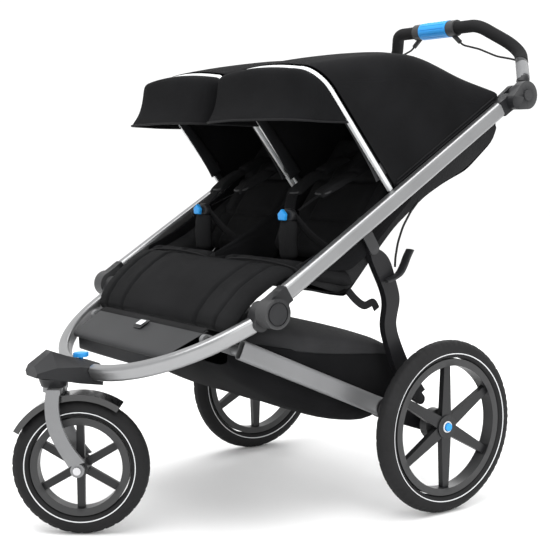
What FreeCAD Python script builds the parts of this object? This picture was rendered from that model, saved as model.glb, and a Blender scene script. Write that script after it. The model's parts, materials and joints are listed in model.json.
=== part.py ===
import FreeCAD, Part
import math
import os

# Two-seat jogging stroller with a swivelling front wheel.  Millimetres, +Z up, forward is -Y,
# +X is the stroller's left.  Side-view places below are (y, z) with y counted from the rear axle.

V = FreeCAD.Vector

# ---------------------------------------------------------------- driving dimensions
AXLE_Y = 242.0                # rear axle's place along Y, which centres the whole object on the origin
REAR_RADIUS = 200.0           # sixteen-inch rear wheels
REAR_X = 380.0                # rear wheels' middle planes
FRONT_RADIUS = 150.0          # twelve-inch front wheel
TYRE_HALF = 22.5
STEER_Y = -793.0              # steering axis, ahead of the rear axle
TRAIL = 56.0                  # front axle behind the steering axis
SWIVEL = -36.9                # degrees the front wheel is turned at rest

FOLD = (-469.0, 495.0)        # main fold pivot, upper frame to lower frame
STRUT_TOP = (-180.0, 615.0)   # back strut's pivot on the upper frame
LEG_PIVOT = (-562.0, 434.0)   # rear leg's pivot on the lower frame
HANDLE = (251.0, 960.0)       # handlebar pivot
CANOPY = (-160.0, 790.0)      # canopy bow pivot
RECLINE = (-205.0, 575.0)     # seat back's hinge

UPPER_X = 352.0               # upper tubes' middle planes
TUBE_W = 26.0
TUBE_H = 36.0
TUBE_WALL = 2.2
TUBE_LOW = (-431.5, 535.0)    # upper tube's lower end
UPPER_PITCH = 32.2            # degrees
UPPER_LENGTH = 733.0

LOWER_H = 34.0                # lower tube's height across its bend
LOWER_PITCH = 26.6            # degrees, the plane that the lower tubes bend in
LOWER_START = (317.0, 26.0)   # x, and distance from below the fold pivot along that plane
LOWER_TOE = 16.5              # degrees that each lower tube starts turned inward
LOWER_STRAIGHT = 41.0
LOWER_BEND = 302.0
LOWER_END_TOE = 84.0

LEG_X = 300.0                 # rear legs' middle planes
LEG_W = 20.0
LEG_H = 42.0
STRUT_X = 325.0
STRUT_W = 18.0
SEAT_INNER = 8.0              # half the space between the two seats
SEAT_OUTER = 305.0
CANOPY_OUTER = 345.0
RUN = 0.05                    # radial running clearance of every pin
SKIN = 5.0                    # thickness of the fabric shells


# ---------------------------------------------------------------- helpers
def at(x, place):
    """A point at x and at a side-view place (y from the rear axle, z)."""
    return V(x, place[0] + AXLE_Y, place[1])


def direction(degrees):
    return math.cos(math.radians(degrees)), math.sin(math.radians(degrees))


def along(place, degrees, distance, side=0.0):
    """A side-view place moved along a slope, and then square to it."""
    c, s = direction(degrees)
    return place[0] + c * distance - s * side, place[1] + s * distance + c * side


def mirror(shape):
    return shape.mirror(V(0, 0, 0), V(1, 0, 0))


def cylinder_x(place, radius, x0, x1):
    return Part.makeCylinder(radius, x1 - x0, at(x0, place), V(1, 0, 0))


def profile(places, x0, x1):
    """A side-view outline made into a plate from x0 to x1."""
    points = [at(x0, place) for place in places]
    face = Part.Face(Part.makePolygon(points + [points[0]]))
    return face.extrude(V(x1 - x0, 0, 0))


def smooth_profile(front, back, x0, x1):
    """A plate between two smooth side-view edges that run from its top to its foot."""
    edges = []
    for places in (front, back):
        curve = Part.BSplineCurve()
        curve.interpolate([at(x0, place) for place in places])
        edges.append(curve.toShape())
    top = Part.LineSegment(at(x0, front[0]), at(x0, back[0])).toShape()
    foot = Part.LineSegment(at(x0, front[-1]), at(x0, back[-1])).toShape()
    wire = Part.Wire(Part.__sortEdges__([edges[0], foot, edges[1], top]))
    return Part.Face(wire).extrude(V(x1 - x0, 0, 0))


def link(a, b, ra, rb, x0, x1):
    """A flat bar with two round ends, as seen from the side."""
    dy, dz = b[0] - a[0], b[1] - a[1]
    length = math.hypot(dy, dz)
    lean = math.degrees(math.asin((ra - rb) / length))
    slope = math.degrees(math.atan2(dz, dy))
    corners = []
    for place, radius, side in ((a, ra, 1), (b, rb, 1), (b, rb, -1), (a, ra, -1)):
        c, s = direction(slope + side * (90.0 - lean))
        corners.append((place[0] + radius * c, place[1] + radius * s))
    bar = profile(corners, x0, x1)
    ends = [cylinder_x(a, ra, x0, x1), cylinder_x(b, rb, x0, x1)]
    return bar.multiFuse(ends).removeSplitter()


def rounded_section(centre, across, up, width, height, radius):
    """A closed rounded rectangle whose sides lie along two unit vectors."""
    def corner(u, v):
        return centre + across * u + up * v

    w, h = width / 2.0, height / 2.0
    edges = []
    for turn in range(4):
        su, sv = ((1, 1), (-1, 1), (-1, -1), (1, -1))[turn]
        nu, nv = ((-1, 1), (-1, -1), (1, -1), (1, 1))[turn]
        arc_u, arc_v = su * (w - radius), sv * (h - radius)
        k = radius * math.sqrt(0.5)
        if turn % 2 == 0:
            first = corner(su * w, arc_v)
            last = corner(arc_u, sv * h)
            following = corner(nu * (w - radius), nv * h)
        else:
            first = corner(arc_u, sv * h)
            last = corner(su * w, arc_v)
            following = corner(nu * w, nv * (h - radius))
        middle = corner(arc_u + su * k, arc_v + sv * k)
        edges.append(Part.Arc(first, middle, last).toShape())
        edges.append(Part.LineSegment(last, following).toShape())
    return Part.Wire(edges)


def rounded_path(points, radii):
    """Straight runs joined by tangent arcs."""
    edges = []
    start = points[0]
    for i in range(1, len(points) - 1):
        here = points[i]
        back = (points[i - 1] - here).normalize()
        ahead = (points[i + 1] - here).normalize()
        half = back.getAngle(ahead) / 2.0
        reach = radii[i - 1] / math.tan(half)
        first = here + back * reach
        last = here + ahead * reach
        centre = here + (back + ahead).normalize() * (radii[i - 1] / math.sin(half))
        middle = centre + (here - centre).normalize() * radii[i - 1]
        edges.append(Part.LineSegment(start, first).toShape())
        edges.append(Part.Arc(first, middle, last).toShape())
        start = last
    edges.append(Part.LineSegment(start, points[-1]).toShape())
    return Part.Wire(edges)


def round_pipe(path, radius):
    start = path.Edges[0].Vertexes[0].Point
    heading = path.Edges[0].tangentAt(path.Edges[0].FirstParameter)
    ring = Part.Wire(Part.makeCircle(radius, start, heading))
    return path.makePipeShell([ring], True, False)


def ring_x(place, outer, inner, x0, x1):
    return cylinder_x(place, outer, x0, x1).cut(cylinder_x(place, inner, x0 - 1, x1 + 1))


# ---------------------------------------------------------------- upper frame
TUBE_TOP = along(TUBE_LOW, UPPER_PITCH, UPPER_LENGTH)
FOLD_PIN_R = 8.0


def straight_tube(x, start, pitch, length, width, height, radius, wall):
    c, s = direction(pitch)
    across, up, run = V(1, 0, 0), V(0, -s, c), V(0, c, s) * length
    outer = Part.Face(rounded_section(at(x, start), across, up, width, height, radius))
    inner = Part.Face(rounded_section(at(x, start), across, up, width - 2 * wall,
                                      height - 2 * wall, radius - wall))
    return outer.cut(inner).extrude(run)


def tube_plug(x, start, pitch, length):
    """The tongue of a housing that fills a tube's end."""
    c, s = direction(pitch)
    gap = 2 * TUBE_WALL + 0.4
    section = rounded_section(at(x, start), V(1, 0, 0), V(0, -s, c), TUBE_W - gap, TUBE_H - gap, 7.0)
    return Part.Face(section).extrude(V(0, c, s) * length)


def upper_tube():
    return straight_tube(UPPER_X, TUBE_LOW, UPPER_PITCH, UPPER_LENGTH, TUBE_W, TUBE_H, 9.0, TUBE_WALL)


def fold_housing():
    """The outer half of the fold joint, plugged into the upper tube."""
    x0, x1 = UPPER_X - TUBE_W / 2, UPPER_X + TUBE_W / 2
    neck_end = along(TUBE_LOW, UPPER_PITCH, -18.0)
    neck = link(neck_end, FOLD, 17.5, 31.0, x0, x1)
    block = profile([along(TUBE_LOW, UPPER_PITCH, d, h) for d, h in ((-18, -18), (0, -18), (0, 18), (-18, 18))],
                    x0, x1)
    disc = cylinder_x(FOLD, 32.0, x0, x1 + 11.0)
    body = neck.multiFuse([block, disc, tube_plug(UPPER_X, TUBE_LOW, UPPER_PITCH, 34.0)])
    body = body.cut(cylinder_x(FOLD, FOLD_PIN_R, x0 - 5, x1 + 2))
    groove = ring_x(FOLD, 25.0, 22.5, x1 + 9.0, x1 + 12.0)
    return body.cut(groove).removeSplitter()


def fold_pins():
    pin = cylinder_x(FOLD, FOLD_PIN_R, UPPER_X - TUBE_W / 2 - 34.0, UPPER_X + TUBE_W / 2 + 2)
    strut_pin = cylinder_x(STRUT_TOP, 5.0, STRUT_X - STRUT_W / 2 - 3.0, STRUT_X + STRUT_W / 2 + 1.0)
    head = cylinder_x(STRUT_TOP, 8.0, STRUT_X - STRUT_W / 2 - 3.0, STRUT_X - STRUT_W / 2 - 0.4)
    lug = link(STRUT_TOP, along(TUBE_LOW, UPPER_PITCH, 255.0), 14.0, 14.0, STRUT_X + STRUT_W / 2 + 0.4,
               UPPER_X - TUBE_W / 2)
    strut_pin = strut_pin.multiFuse([head, lug]).removeSplitter()
    pins = [pin, strut_pin]
    return Part.Compound(pins + [mirror(p) for p in pins])


HANDLE_HUB_R = 24.0
HANDLE_BOLT_R = 7.0


def handle_mount():
    """The clevis at the top of the upper tube, with the large round boss outside."""
    x0, x1 = UPPER_X - 22.0, UPPER_X + 20.0
    neck_far = along(TUBE_TOP, UPPER_PITCH, 38.0)
    neck = link(along(TUBE_TOP, UPPER_PITCH, 18.0), neck_far, 18.0, 19.0, UPPER_X - TUBE_W / 2, UPPER_X + TUBE_W / 2)
    neck = neck.fuse(profile([along(TUBE_TOP, UPPER_PITCH, d, h)
                              for d, h in ((0, -18), (18, -18), (18, 18), (0, 18))],
                             UPPER_X - TUBE_W / 2, UPPER_X + TUBE_W / 2))
    outer_cheek = link(neck_far, HANDLE, 20.0, 33.0, UPPER_X + 10.5, x1 + 12.0)
    inner_cheek = link(neck_far, HANDLE, 19.0, 25.0, x0, UPPER_X - 10.5)
    body = neck.multiFuse([outer_cheek, inner_cheek, tube_plug(UPPER_X, TUBE_TOP, UPPER_PITCH, -34.0)])
    body = body.cut(cylinder_x(HANDLE, HANDLE_HUB_R + 1.0, UPPER_X - 10.5, UPPER_X + 10.5))
    body = body.cut(cylinder_x(HANDLE, HANDLE_BOLT_R + RUN, x0 - 1, x1 + 13))
    body = body.cut(cylinder_x(HANDLE, 13.3, x1 + 1.0, x1 + 13.0))
    return body.removeSplitter()


def seat_base():
    outline = [(-377, 572), (-371, 538), (-300, 524), (-250, 517), (-240, 524), (-242, 540),
               (-250, 558), (-300, 577), (-366, 583)]
    front = profile(outline, SEAT_INNER + 2, 331.0)
    relief = profile([(-210, 500), (-262, 500), (-262, 600), (-210, 600)], SEAT_OUTER + 2, 340.0)
    return front.cut(relief)


def seat_back():
    slope, top = 55.0, 342.0
    slab = [along(RECLINE, slope, 6.0, 2.0), along(RECLINE, slope, top, 2.0), along(RECLINE, slope, top, -10.0),
            along(RECLINE, slope, 6.0, -10.0)]
    return profile(slab, SEAT_INNER + 10, SEAT_OUTER)


def rear_panel():
    line = [(-238, 506), (-160, 590), (-96, 655), (30, 752), (196, 866)]
    outer = line + [(y - 3.4, z + 4.6) for y, z in reversed(line)]
    return profile(outer, -SEAT_OUTER, SEAT_OUTER)


def side_panels():
    side = [(-377, 592), (-377, 560), (-252, 528), (-160, 606), (-96, 668), (30, 766), (168, 860),
            (168, 905), (-60, 790)]
    left = profile(side, SEAT_OUTER + 3, SEAT_OUTER + 7)
    left = left.cut(profile([(-380, 500), (-220, 500), (-240, 566), (-300, 580), (-366, 586), (-380, 580)],
                            SEAT_OUTER, SEAT_OUTER + 10))
    divider = profile([(-378, 566), (-368, 540), (-252, 528), (-96, 668), (90, 814), (90, 850), (-142, 735)],
                      -3, 3)
    return Part.Compound([left, mirror(left), divider])


BUCKLE_X = 178.0


def crotch_pads():
    x = BUCKLE_X
    pad = profile([(-309, 580), (-313, 660), (-305, 672), (-287, 672), (-278, 660), (-283, 575)], x - 26, x + 26)
    buckle = profile([(-305, 672), (-307, 694), (-295, 704), (-285, 704), (-281, 672)], x - 24, x + 24)
    pocket = Part.makeCylinder(10.0, 8.0, V(x, AXLE_Y - 312.0, 686.0), V(0, 1, 0))
    left = pad.fuse(buckle).cut(pocket).removeSplitter()
    return Part.Compound([left, mirror(left)])


def buckle_button():
    return Part.makeCylinder(9.5, 8.0, V(BUCKLE_X, AXLE_Y - 316.0, 686.0), V(0, 1, 0))


def leg_rest_pad():
    outer = [(-382, 584), (-445, 560), (-482, 535), (-512, 508), (-534, 480), (-539, 460)]
    inner = [(-525, 462), (-514, 478), (-494, 500), (-468, 518), (-436, 536), (-382, 556)]
    return profile(outer + inner, -288.0, 288.0)


# ---------------------------------------------------------------- canopies
BOW_LEAN = math.degrees(math.atan2(1018 - CANOPY[1], -346 - CANOPY[0]))
ARCH_CORNER = 78.0


def arch(base, top_y, top_z, inset, floor):
    """One closed arch across a canopy, in the plane through its base and its top."""
    x0, x1 = SEAT_INNER + inset, CANOPY_OUTER - inset
    rise = V(0, top_y - base[0], top_z - base[1])
    height = rise.Length - inset
    rise.normalize()
    foot = at(0, base)
    radius = ARCH_CORNER - inset

    def point(x, z):
        return foot + V(x, 0, 0) + rise * z

    crown = 10.0
    low = -floor
    radius = min(radius, (height - low - crown) * 0.8)
    k = radius * (1 - math.sqrt(0.5))
    shoulder = height - crown
    left_start, left_end = point(x0, shoulder - radius), point(x0 + radius, shoulder)
    right_start, right_end = point(x1 - radius, shoulder), point(x1, shoulder - radius)
    return Part.Wire([
        Part.LineSegment(point(x0, low), left_start).toShape(),
        Part.Arc(left_start, point(x0 + k, shoulder - k), left_end).toShape(),
        Part.Arc(left_end, point((x0 + x1) / 2, height), right_start).toShape(),
        Part.Arc(right_start, point(x1 - k, shoulder - k), right_end).toShape(),
        Part.LineSegment(right_end, point(x1, low)).toShape(),
        Part.LineSegment(point(x1, low), point(x0, low)).toShape()])


def canopy_cover(first, second):
    """A fabric shell between two arches, open below."""
    outer = Part.makeLoft([arch(*first, 0.0, 0.0), arch(*second, 0.0, 0.0)], True, True)
    inner = Part.makeLoft([arch(*first, SKIN, 20.0), arch(*second, SKIN, 20.0)], True, True)
    c, s = direction(UPPER_PITCH)
    over = 3.0
    for end, other in ((first, second), (second, first)):
        reach = V(0, end[0][0] - other[0][0], end[0][1] - other[0][1]).normalize() * over
        lid = Part.Face(arch(*end, SKIN, 20.0)).extrude(reach)
        inner = inner.fuse(lid)
    return outer.cut(inner)


FRONT_ARCH = ((-130.0, 754.0), -346.0, 1018.0)
MID_ARCH = ((-49.0, 803.0), -49.0, 1064.0)
REAR_ARCH = ((178.0, 944.0), 190.0, 985.0)
BOW_DEPTH = 14.0


def shifted(section, forward):
    """The same arch moved square to its own plane."""
    (by, bz), ty, tz = section
    length = math.hypot(ty - by, tz - bz)
    dy, dz = -(tz - bz) / length * forward, (ty - by) / length * forward
    return (by + dy, bz + dz), ty + dy, tz + dz


def canopy_bow():
    face = Part.Face(arch(*FRONT_ARCH, 0.0, 0.0)).cut(Part.Face(arch(*FRONT_ARCH, 9.0, 40.0)))
    (by, bz), ty, tz = FRONT_ARCH
    length = math.hypot(ty - by, tz - bz)
    step = V(0, -(tz - bz) / length, (ty - by) / length) * BOW_DEPTH
    bow = face.extrude(step)
    return bow


def canopy_shell():
    cover = canopy_cover(FRONT_ARCH, MID_ARCH)
    lip = shifted(FRONT_ARCH, BOW_DEPTH + 0.4)
    reach = -418.0
    x0, x1 = SEAT_INNER, CANOPY_OUTER
    middle = (x0 + x1) / 2
    top_y, top_z = lip[1], lip[2] - 6
    peak = Part.makePolygon([at(x0, (-279, 905)), at(x0 + 70, (top_y, top_z)), at(x1 - 70, (top_y, top_z)),
                             at(x1, (-279, 905)), at(x0, (-279, 905))])
    brim = Part.makePolygon([at(x0, (-268, 890)), at(x0 + 46, (reach, 886)), at(x1 - 46, (reach, 886)),
                             at(x1, (-268, 890)), at(x0, (-268, 890))])
    visor = Part.makeLoft([peak, brim], True, True)
    hollow_top = Part.makePolygon([at(x0 + 6, (-272, 902)), at(x0 + 73, (top_y + 8, top_z - 8)),
                                   at(x1 - 73, (top_y + 8, top_z - 8)), at(x1 - 6, (-272, 902)),
                                   at(x0 + 6, (-272, 902))])
    hollow_foot = Part.makePolygon([at(x0 + 6, (-260, 880)), at(x0 + 50, (reach + 6, 874)),
                                    at(x1 - 50, (reach + 6, 874)), at(x1 - 6, (-260, 880)),
                                    at(x0 + 6, (-260, 880))])
    visor = visor.cut(Part.makeLoft([hollow_top, hollow_foot], True, True))
    return Part.Compound([cover] + [s for s in visor.Solids])


def canopy_rear():
    start = ((MID_ARCH[0][0] + 0.4, MID_ARCH[0][1]), MID_ARCH[1] + 0.4, MID_ARCH[2])
    left = canopy_cover(start, REAR_ARCH)
    return Part.Compound([left, mirror(left)])


def canopy_plates():
    """The round plates that the bows turn on, each on its own lug."""
    tube = straight_tube(UPPER_X, TUBE_LOW, UPPER_PITCH, UPPER_LENGTH, TUBE_W, TUBE_H, 9.0, 12.9)
    outer = link(CANOPY, (-150.0, 716.0), 24.0, 12.0, CANOPY_OUTER + 0.6, CANOPY_OUTER + 4.6).cut(tube)
    outer = max(outer.Solids, key=lambda solid: solid.BoundBox.ZMax)
    inner = link(CANOPY, (-152.0, 724.0), 20.0, 10.0, 3.2, SEAT_INNER - 0.6)
    plates = [outer, inner]
    return Part.Compound(plates + [mirror(p) for p in plates])


# ---------------------------------------------------------------- handlebar
BAR_R = 12.0
FOAM_R = 16.0
BAR_CORNER = (150.0, (321.0, 1147.0))      # x and place of the upper bends
BAR_ELBOW = (232.0, (388.0, 1085.0))       # x and place of the lower bends
GRIP_X = 50.0                              # half-length of the twist grip
GRIP_R = 22.0
COLLAR_X = 76.0
SLEEVE_R = 15.0
SLEEVE_TOP = 128.0                         # distance from the handlebar pivot where sleeve meets foam


def bar_path():
    left = [at(UPPER_X, along(HANDLE, 62.0, 14.0)), at(UPPER_X, along(HANDLE, 62.0, 42.0)),
            at(*BAR_ELBOW), at(*BAR_CORNER)]
    right = [V(-p.x, p.y, p.z) for p in reversed(left)]
    return rounded_path(left + right, [24.0, 70.0, 52.0, 52.0, 70.0, 24.0])


def bar_piece(radius, hollow=0.0):
    pipe = round_pipe(bar_path(), radius)
    return pipe.cut(round_pipe(bar_path(), hollow)) if hollow else pipe


def handlebar_tube():
    bar = bar_piece(BAR_R)
    for x0, radius in ((UPPER_X + 10.2, 34.0), (UPPER_X - 40.2, 26.5)):
        cheek = cylinder_x(HANDLE, radius, x0, x0 + 30.0)
        bar = bar.cut(cheek).cut(mirror(cheek))
    hub = cylinder_x(HANDLE, HANDLE_HUB_R, UPPER_X - 10.0, UPPER_X + 10.0)
    bar = bar.multiFuse([hub, mirror(hub)])
    bolt = cylinder_x(HANDLE, HANDLE_BOLT_R, UPPER_X - 20.0, UPPER_X + 20.0)
    bar = bar.multiFuse([bolt, mirror(bolt)])
    return bar.removeSplitter()


def clear_of_hub(shape, radius):
    for side in (-1, 1):
        start = V(side * 400.0, AXLE_Y + HANDLE[0], HANDLE[1])
        shape = shape.cut(Part.makeCylinder(radius, 170.0, start, V(-side, 0, 0)))
    return shape


def handlebar_grip():
    foam = bar_piece(FOAM_R, BAR_R)
    foam = clear_of_hub(foam, SLEEVE_TOP)
    middle = Part.makeCylinder(40.0, 2 * COLLAR_X, at(-COLLAR_X, BAR_CORNER[1]), V(1, 0, 0))
    return foam.cut(middle)


def handle_sleeve():
    """The plain plastic sleeve on each leg of the handlebar, between the hub and the foam."""
    sleeve = clear_of_hub(bar_piece(SLEEVE_R, BAR_R), 36.0)
    return sleeve.common(cylinder_x(HANDLE, SLEEVE_TOP - 0.5, 232.0, 400.0))


SPOUT = V(1.0, 0, -0.8).normalize()
SPOUT_START = at(GRIP_X + 13.0, (BAR_CORNER[1][0], BAR_CORNER[1][1] - 18.0))
SPOUT_LENGTH = 30.0


def handlebar_fittings():
    """The two legs' sleeves, and the collars beside the twist grip with their cable outlets."""
    axis = BAR_CORNER[1]
    x0, x1 = GRIP_X + 0.4, COLLAR_X - 0.3
    collar = ring_x(axis, 21.0, BAR_R, x0, x1)
    spout = Part.makeCylinder(6.0, SPOUT_LENGTH, SPOUT_START, SPOUT)
    left = collar.fuse(spout.cut(cylinder_x(axis, BAR_R + 2.0, x0 - 9, x1 + 9))).removeSplitter()
    sleeve = handle_sleeve()
    return Part.Compound([left, mirror(left), sleeve, mirror(sleeve)])


def twist_grip():
    grip = ring_x(BAR_CORNER[1], GRIP_R, BAR_R + RUN, -GRIP_X, GRIP_X)
    for i in range(12):
        place = along(BAR_CORNER[1], 30.0 * i, GRIP_R + 0.7)
        grip = grip.cut(cylinder_x(place, 1.8, -GRIP_X + 7, GRIP_X - 7))
    return grip


def handle_button():
    return cylinder_x(HANDLE, 13.0, UPPER_X + 24.4, UPPER_X + 35.0)


def upper_cables():
    """Each brake cable from its collar into the handlebar's own leg."""
    start = SPOUT_START + SPOUT * (SPOUT_LENGTH + 0.02)
    points = [start, start + SPOUT * 14.0, V(150, AXLE_Y + 326, 1088), V(206, AXLE_Y + 332, 1066),
              V(244, AXLE_Y + 340, 1058), V(278, AXLE_Y + 346, 1049)]
    cable = round_pipe(rounded_path(points, [40.0, 120.0, 120.0, 60.0]), 2.5)
    bar = bar_piece(FOAM_R)
    cable = cable.cut(bar)
    return Part.Compound([cable.Solids[0], mirror(cable.Solids[0])])


# ---------------------------------------------------------------- lower frame
def lower_point(x, distance, lift=0.0):
    """A point of the lower tubes' plane, by its distance from below the fold pivot."""
    c, s = direction(LOWER_PITCH)
    y = FOLD[0] - distance * c - lift * s
    z = FOLD[1] - 16.0 - distance * s + lift * c
    return V(x, y + AXLE_Y, z)


def lower_path():
    c0, s0 = direction(LOWER_TOE)
    x0, t0 = LOWER_START
    x1, t1 = x0 - s0 * LOWER_STRAIGHT, t0 + c0 * LOWER_STRAIGHT
    points = []
    for toe in (LOWER_TOE, (LOWER_TOE + LOWER_END_TOE) / 2, LOWER_END_TOE):
        c, s = direction(toe)
        points.append(lower_point(x1 - LOWER_BEND * (c0 - c), t1 + LOWER_BEND * (s - s0)))
    line = Part.LineSegment(lower_point(x0, t0), points[0]).toShape()
    return Part.Wire([line, Part.Arc(*points).toShape()])


def lower_pipe(width, height, radius):
    path = lower_path()
    c0, s0 = direction(LOWER_TOE)
    c, s = direction(LOWER_PITCH)
    normal = V(0, -s, c)
    heading = path.Edges[0].tangentAt(path.Edges[0].FirstParameter)
    across = heading.cross(normal)
    section = rounded_section(lower_point(*LOWER_START), across, normal, width, height, radius)
    return path.makePipeShell([section], True, False)


def lower_tube():
    tube = lower_pipe(TUBE_W, LOWER_H, 9.0)
    return tube.cut(lower_pipe(TUBE_W - 2 * TUBE_WALL, LOWER_H - 2 * TUBE_WALL, 9.0 - TUBE_WALL))


def fold_knuckle():
    """The inner half of the fold joint, plugged on the lower tube."""
    start = lower_point(0, LOWER_START[1] - 10.0)
    x0, x1 = LOWER_START[0] - 13.0, UPPER_X - TUBE_W / 2 - 0.5
    body = link((start.y - AXLE_Y, start.z), FOLD, 17.0, 21.0, x0, x1)
    body = body.cut(lower_pipe(TUBE_W + 0.2, LOWER_H + 0.2, 9.0))
    body = body.cut(cylinder_x(FOLD, FOLD_PIN_R + RUN, x0 - 1, x1 + 1))
    return max(body.Solids, key=lambda solid: solid.Volume)


def hub_section(y, top, shoulder, foot, half_top, half, half_foot):
    points = [V(-half_top, y, top), V(half_top, y, top), V(half, y, shoulder), V(half_foot, y, foot),
              V(-half_foot, y, foot), V(-half, y, shoulder)]
    points = [p + V(0, AXLE_Y, 0) for p in points]
    return Part.makePolygon(points + [points[0]])


def front_hub():
    """The faceted casting that joins the lower tubes and carries the steering bearing."""
    sections = [hub_section(-845, 375, 360, 350, 16, 30, 24), hub_section(-803, 403, 370, 343, 14, 40, 34),
                hub_section(-752, 383, 368, 331, 24, 50, 40), hub_section(-698, 369, 360, 322, 28, 52, 44)]
    body = Part.makeLoft(sections, True, True)
    collar = Part.makeCone(27.0, 33.0, 18.0, V(0, STEER_Y + AXLE_Y, 325.0))
    body = body.fuse(collar)
    for side in (lower_pipe(TUBE_W + 0.2, LOWER_H + 0.2, 9.0),):
        body = body.cut(side)
        body = body.cut(mirror(side))
    body = body.cut(Part.makeCylinder(STEERER_R + RUN, 90.0, V(0, STEER_Y + AXLE_Y, 320.0)))
    body = body.cut(Part.makeCylinder(5.0 + RUN, 30.0, V(0, KNOB_Y + AXLE_Y, 358.0)))
    return max(body.Solids, key=lambda solid: solid.Volume)


KNOB_Y = -728.0
STEERER_R = 12.0


def swivel_lock_knob():
    top = 382.2
    body = Part.makeCylinder(15.0, 9.0, V(0, KNOB_Y + AXLE_Y, top))
    wing = Part.makeBox(8, 34, 9, V(-4, KNOB_Y + AXLE_Y - 17, top))
    stem = Part.makeCylinder(5.0, 20.0, V(0, KNOB_Y + AXLE_Y, top - 19.0))
    return body.multiFuse([wing, stem]).removeSplitter()


FOOTREST = [(-545.0, 451.0), (-638.0, 403.0)]


def footrest_panel():
    (y0, z0), (y1, z1) = FOOTREST
    plate = []
    for y, z, half in ((y0, z0, 234.0), (y1, z1, 208.0)):
        plate.append([V(-half, y + AXLE_Y, z), V(half, y + AXLE_Y, z)])
    corners = [plate[0][0], plate[0][1], plate[1][1], plate[1][0]]
    face = Part.Face(Part.makePolygon(corners + [corners[0]]))
    return face.extrude(V(0, -2.9, -5.2))


def footrest_skirt():
    half_back, half_front = 206.0, 190.0
    y, z = FOOTREST[1]
    top = [V(-half_back, y + AXLE_Y - 3.5, z - 1), V(half_back, y + AXLE_Y - 3.5, z - 1),
           V(half_front, y + AXLE_Y - 15, z - 7), V(-half_front, y + AXLE_Y - 15, z - 7)]
    face = Part.Face(Part.makePolygon(top + [top[0]]))
    return face.extrude(V(0, 6, -38))


def leg_pins():
    x0, x1 = LEG_INNER - 3.0, LEG_INNER + 13.5
    pin = cylinder_x(LEG_PIVOT, 5.0, x0, x1).fuse(cylinder_x(LEG_PIVOT, 8.5, x0, LEG_INNER - 0.4))
    return Part.Compound([pin, mirror(pin)])


# ---------------------------------------------------------------- front fork and wheel
def steer(shape):
    """From the fork's own frame, trail along +Y and steering axis at the origin, to its place."""
    shape = shape.copy()
    shape.rotate(V(0, 0, 0), V(0, 0, 1), SWIVEL)
    shape.translate(V(0, STEER_Y + AXLE_Y, 0))
    return shape


def fork_profile(places, x0, x1):
    points = [V(x0, y, z) for y, z in places]
    curve = Part.BSplineCurve()
    curve.interpolate(points)
    return curve.toShape()


FORK_X = 37.0
FORK_T = 10.0
CROWN_Z = 313.0


def fork():
    front = [(-8, 322), (-11, 277), (-5, 238), (9, 205), (37, 158)]
    back = [(22, 322), (19, 277), (26, 243), (44, 205), (72, 168)]
    edges = [fork_profile(front, FORK_X, 0), fork_profile(back, FORK_X, 0)]
    edges.append(Part.LineSegment(V(FORK_X, *front[0]), V(FORK_X, *back[0])).toShape())
    edges.append(Part.LineSegment(V(FORK_X, *front[-1]), V(FORK_X, *back[-1])).toShape())
    blade = Part.Face(Part.Wire(Part.__sortEdges__(edges))).extrude(V(FORK_T, 0, 0))
    eye = Part.makeCylinder(15.0, FORK_T, V(FORK_X, TRAIL, FRONT_RADIUS), V(1, 0, 0))
    blade = blade.fuse(eye)
    crown = Part.makeBox(2 * (FORK_X + FORK_T), 30.0, 11.0, V(-FORK_X - FORK_T, -8.0, CROWN_Z))
    boss = Part.makeCylinder(24.0, 11.0, V(0, 0, CROWN_Z))
    steerer = Part.makeCylinder(STEERER_R, 76.0, V(0, 0, CROWN_Z))
    body = blade.multiFuse([mirror(blade), crown, boss, steerer])
    hole = Part.makeCylinder(5.0 + RUN, 200.0, V(-100, TRAIL, FRONT_RADIUS), V(1, 0, 0))
    return steer(body.cut(hole).removeSplitter())


def fender():
    """A curved guard with turned-down lips, hung under the fork crown."""
    centre = V(0, TRAIL, FRONT_RADIUS)
    axis = V(1, 0, 0)
    outer = Part.makeCylinder(161.5, 60.0, centre - V(30, 0, 0), axis)
    outer = outer.cut(Part.makeCylinder(158.0, 70.0, centre - V(35, 0, 0), axis))
    for side in (-30.0, 27.0):
        lip = Part.makeCylinder(161.5, 3.0, centre + V(side, 0, 0), axis)
        outer = outer.fuse(lip.cut(Part.makeCylinder(148.0, 5.0, centre + V(side - 1, 0, 0), axis)))
    reach = 400.0
    (c0, s0), (c1, s1) = direction(56.0), direction(150.0)
    wedge = [centre + V(-40, 0, 0), centre + V(-40, reach * c0, reach * s0), centre + V(-40, 0, reach),
             centre + V(-40, reach * c1, reach * s1)]
    keep = Part.Face(Part.makePolygon(wedge + [wedge[0]])).extrude(V(80, 0, 0))
    return steer(outer.common(keep).removeSplitter())


def front_axle():
    half = FORK_X + FORK_T
    shaft = Part.makeCylinder(5.0, 2 * half + 8, V(-half - 4, TRAIL, FRONT_RADIUS), V(1, 0, 0))
    heads = []
    for x in (-half - 6.0, half + 0.3):
        heads.append(Part.makeCylinder(8.5, 5.7, V(x, TRAIL, FRONT_RADIUS), V(1, 0, 0)))
    return steer(shaft.multiFuse(heads).removeSplitter())


def tyre(radius, seat):
    """A pneumatic tyre about the X axis, hollow inside."""
    middle = radius - TYRE_HALF
    half = Part.Face(Part.Wire(Part.makeCircle(TYRE_HALF, V(0, 0, middle), V(0, 1, 0))))
    body = half.revolve(V(0, 0, 0), V(1, 0, 0), 360.0)
    air = Part.Face(Part.Wire(Part.makeCircle(TYRE_HALF - 3.5, V(0, 0, middle), V(0, 1, 0))))
    body = body.cut(air.revolve(V(0, 0, 0), V(1, 0, 0), 360.0))
    return body.cut(Part.makeCylinder(seat, 60.0, V(-30, 0, 0), V(1, 0, 0)))


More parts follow.
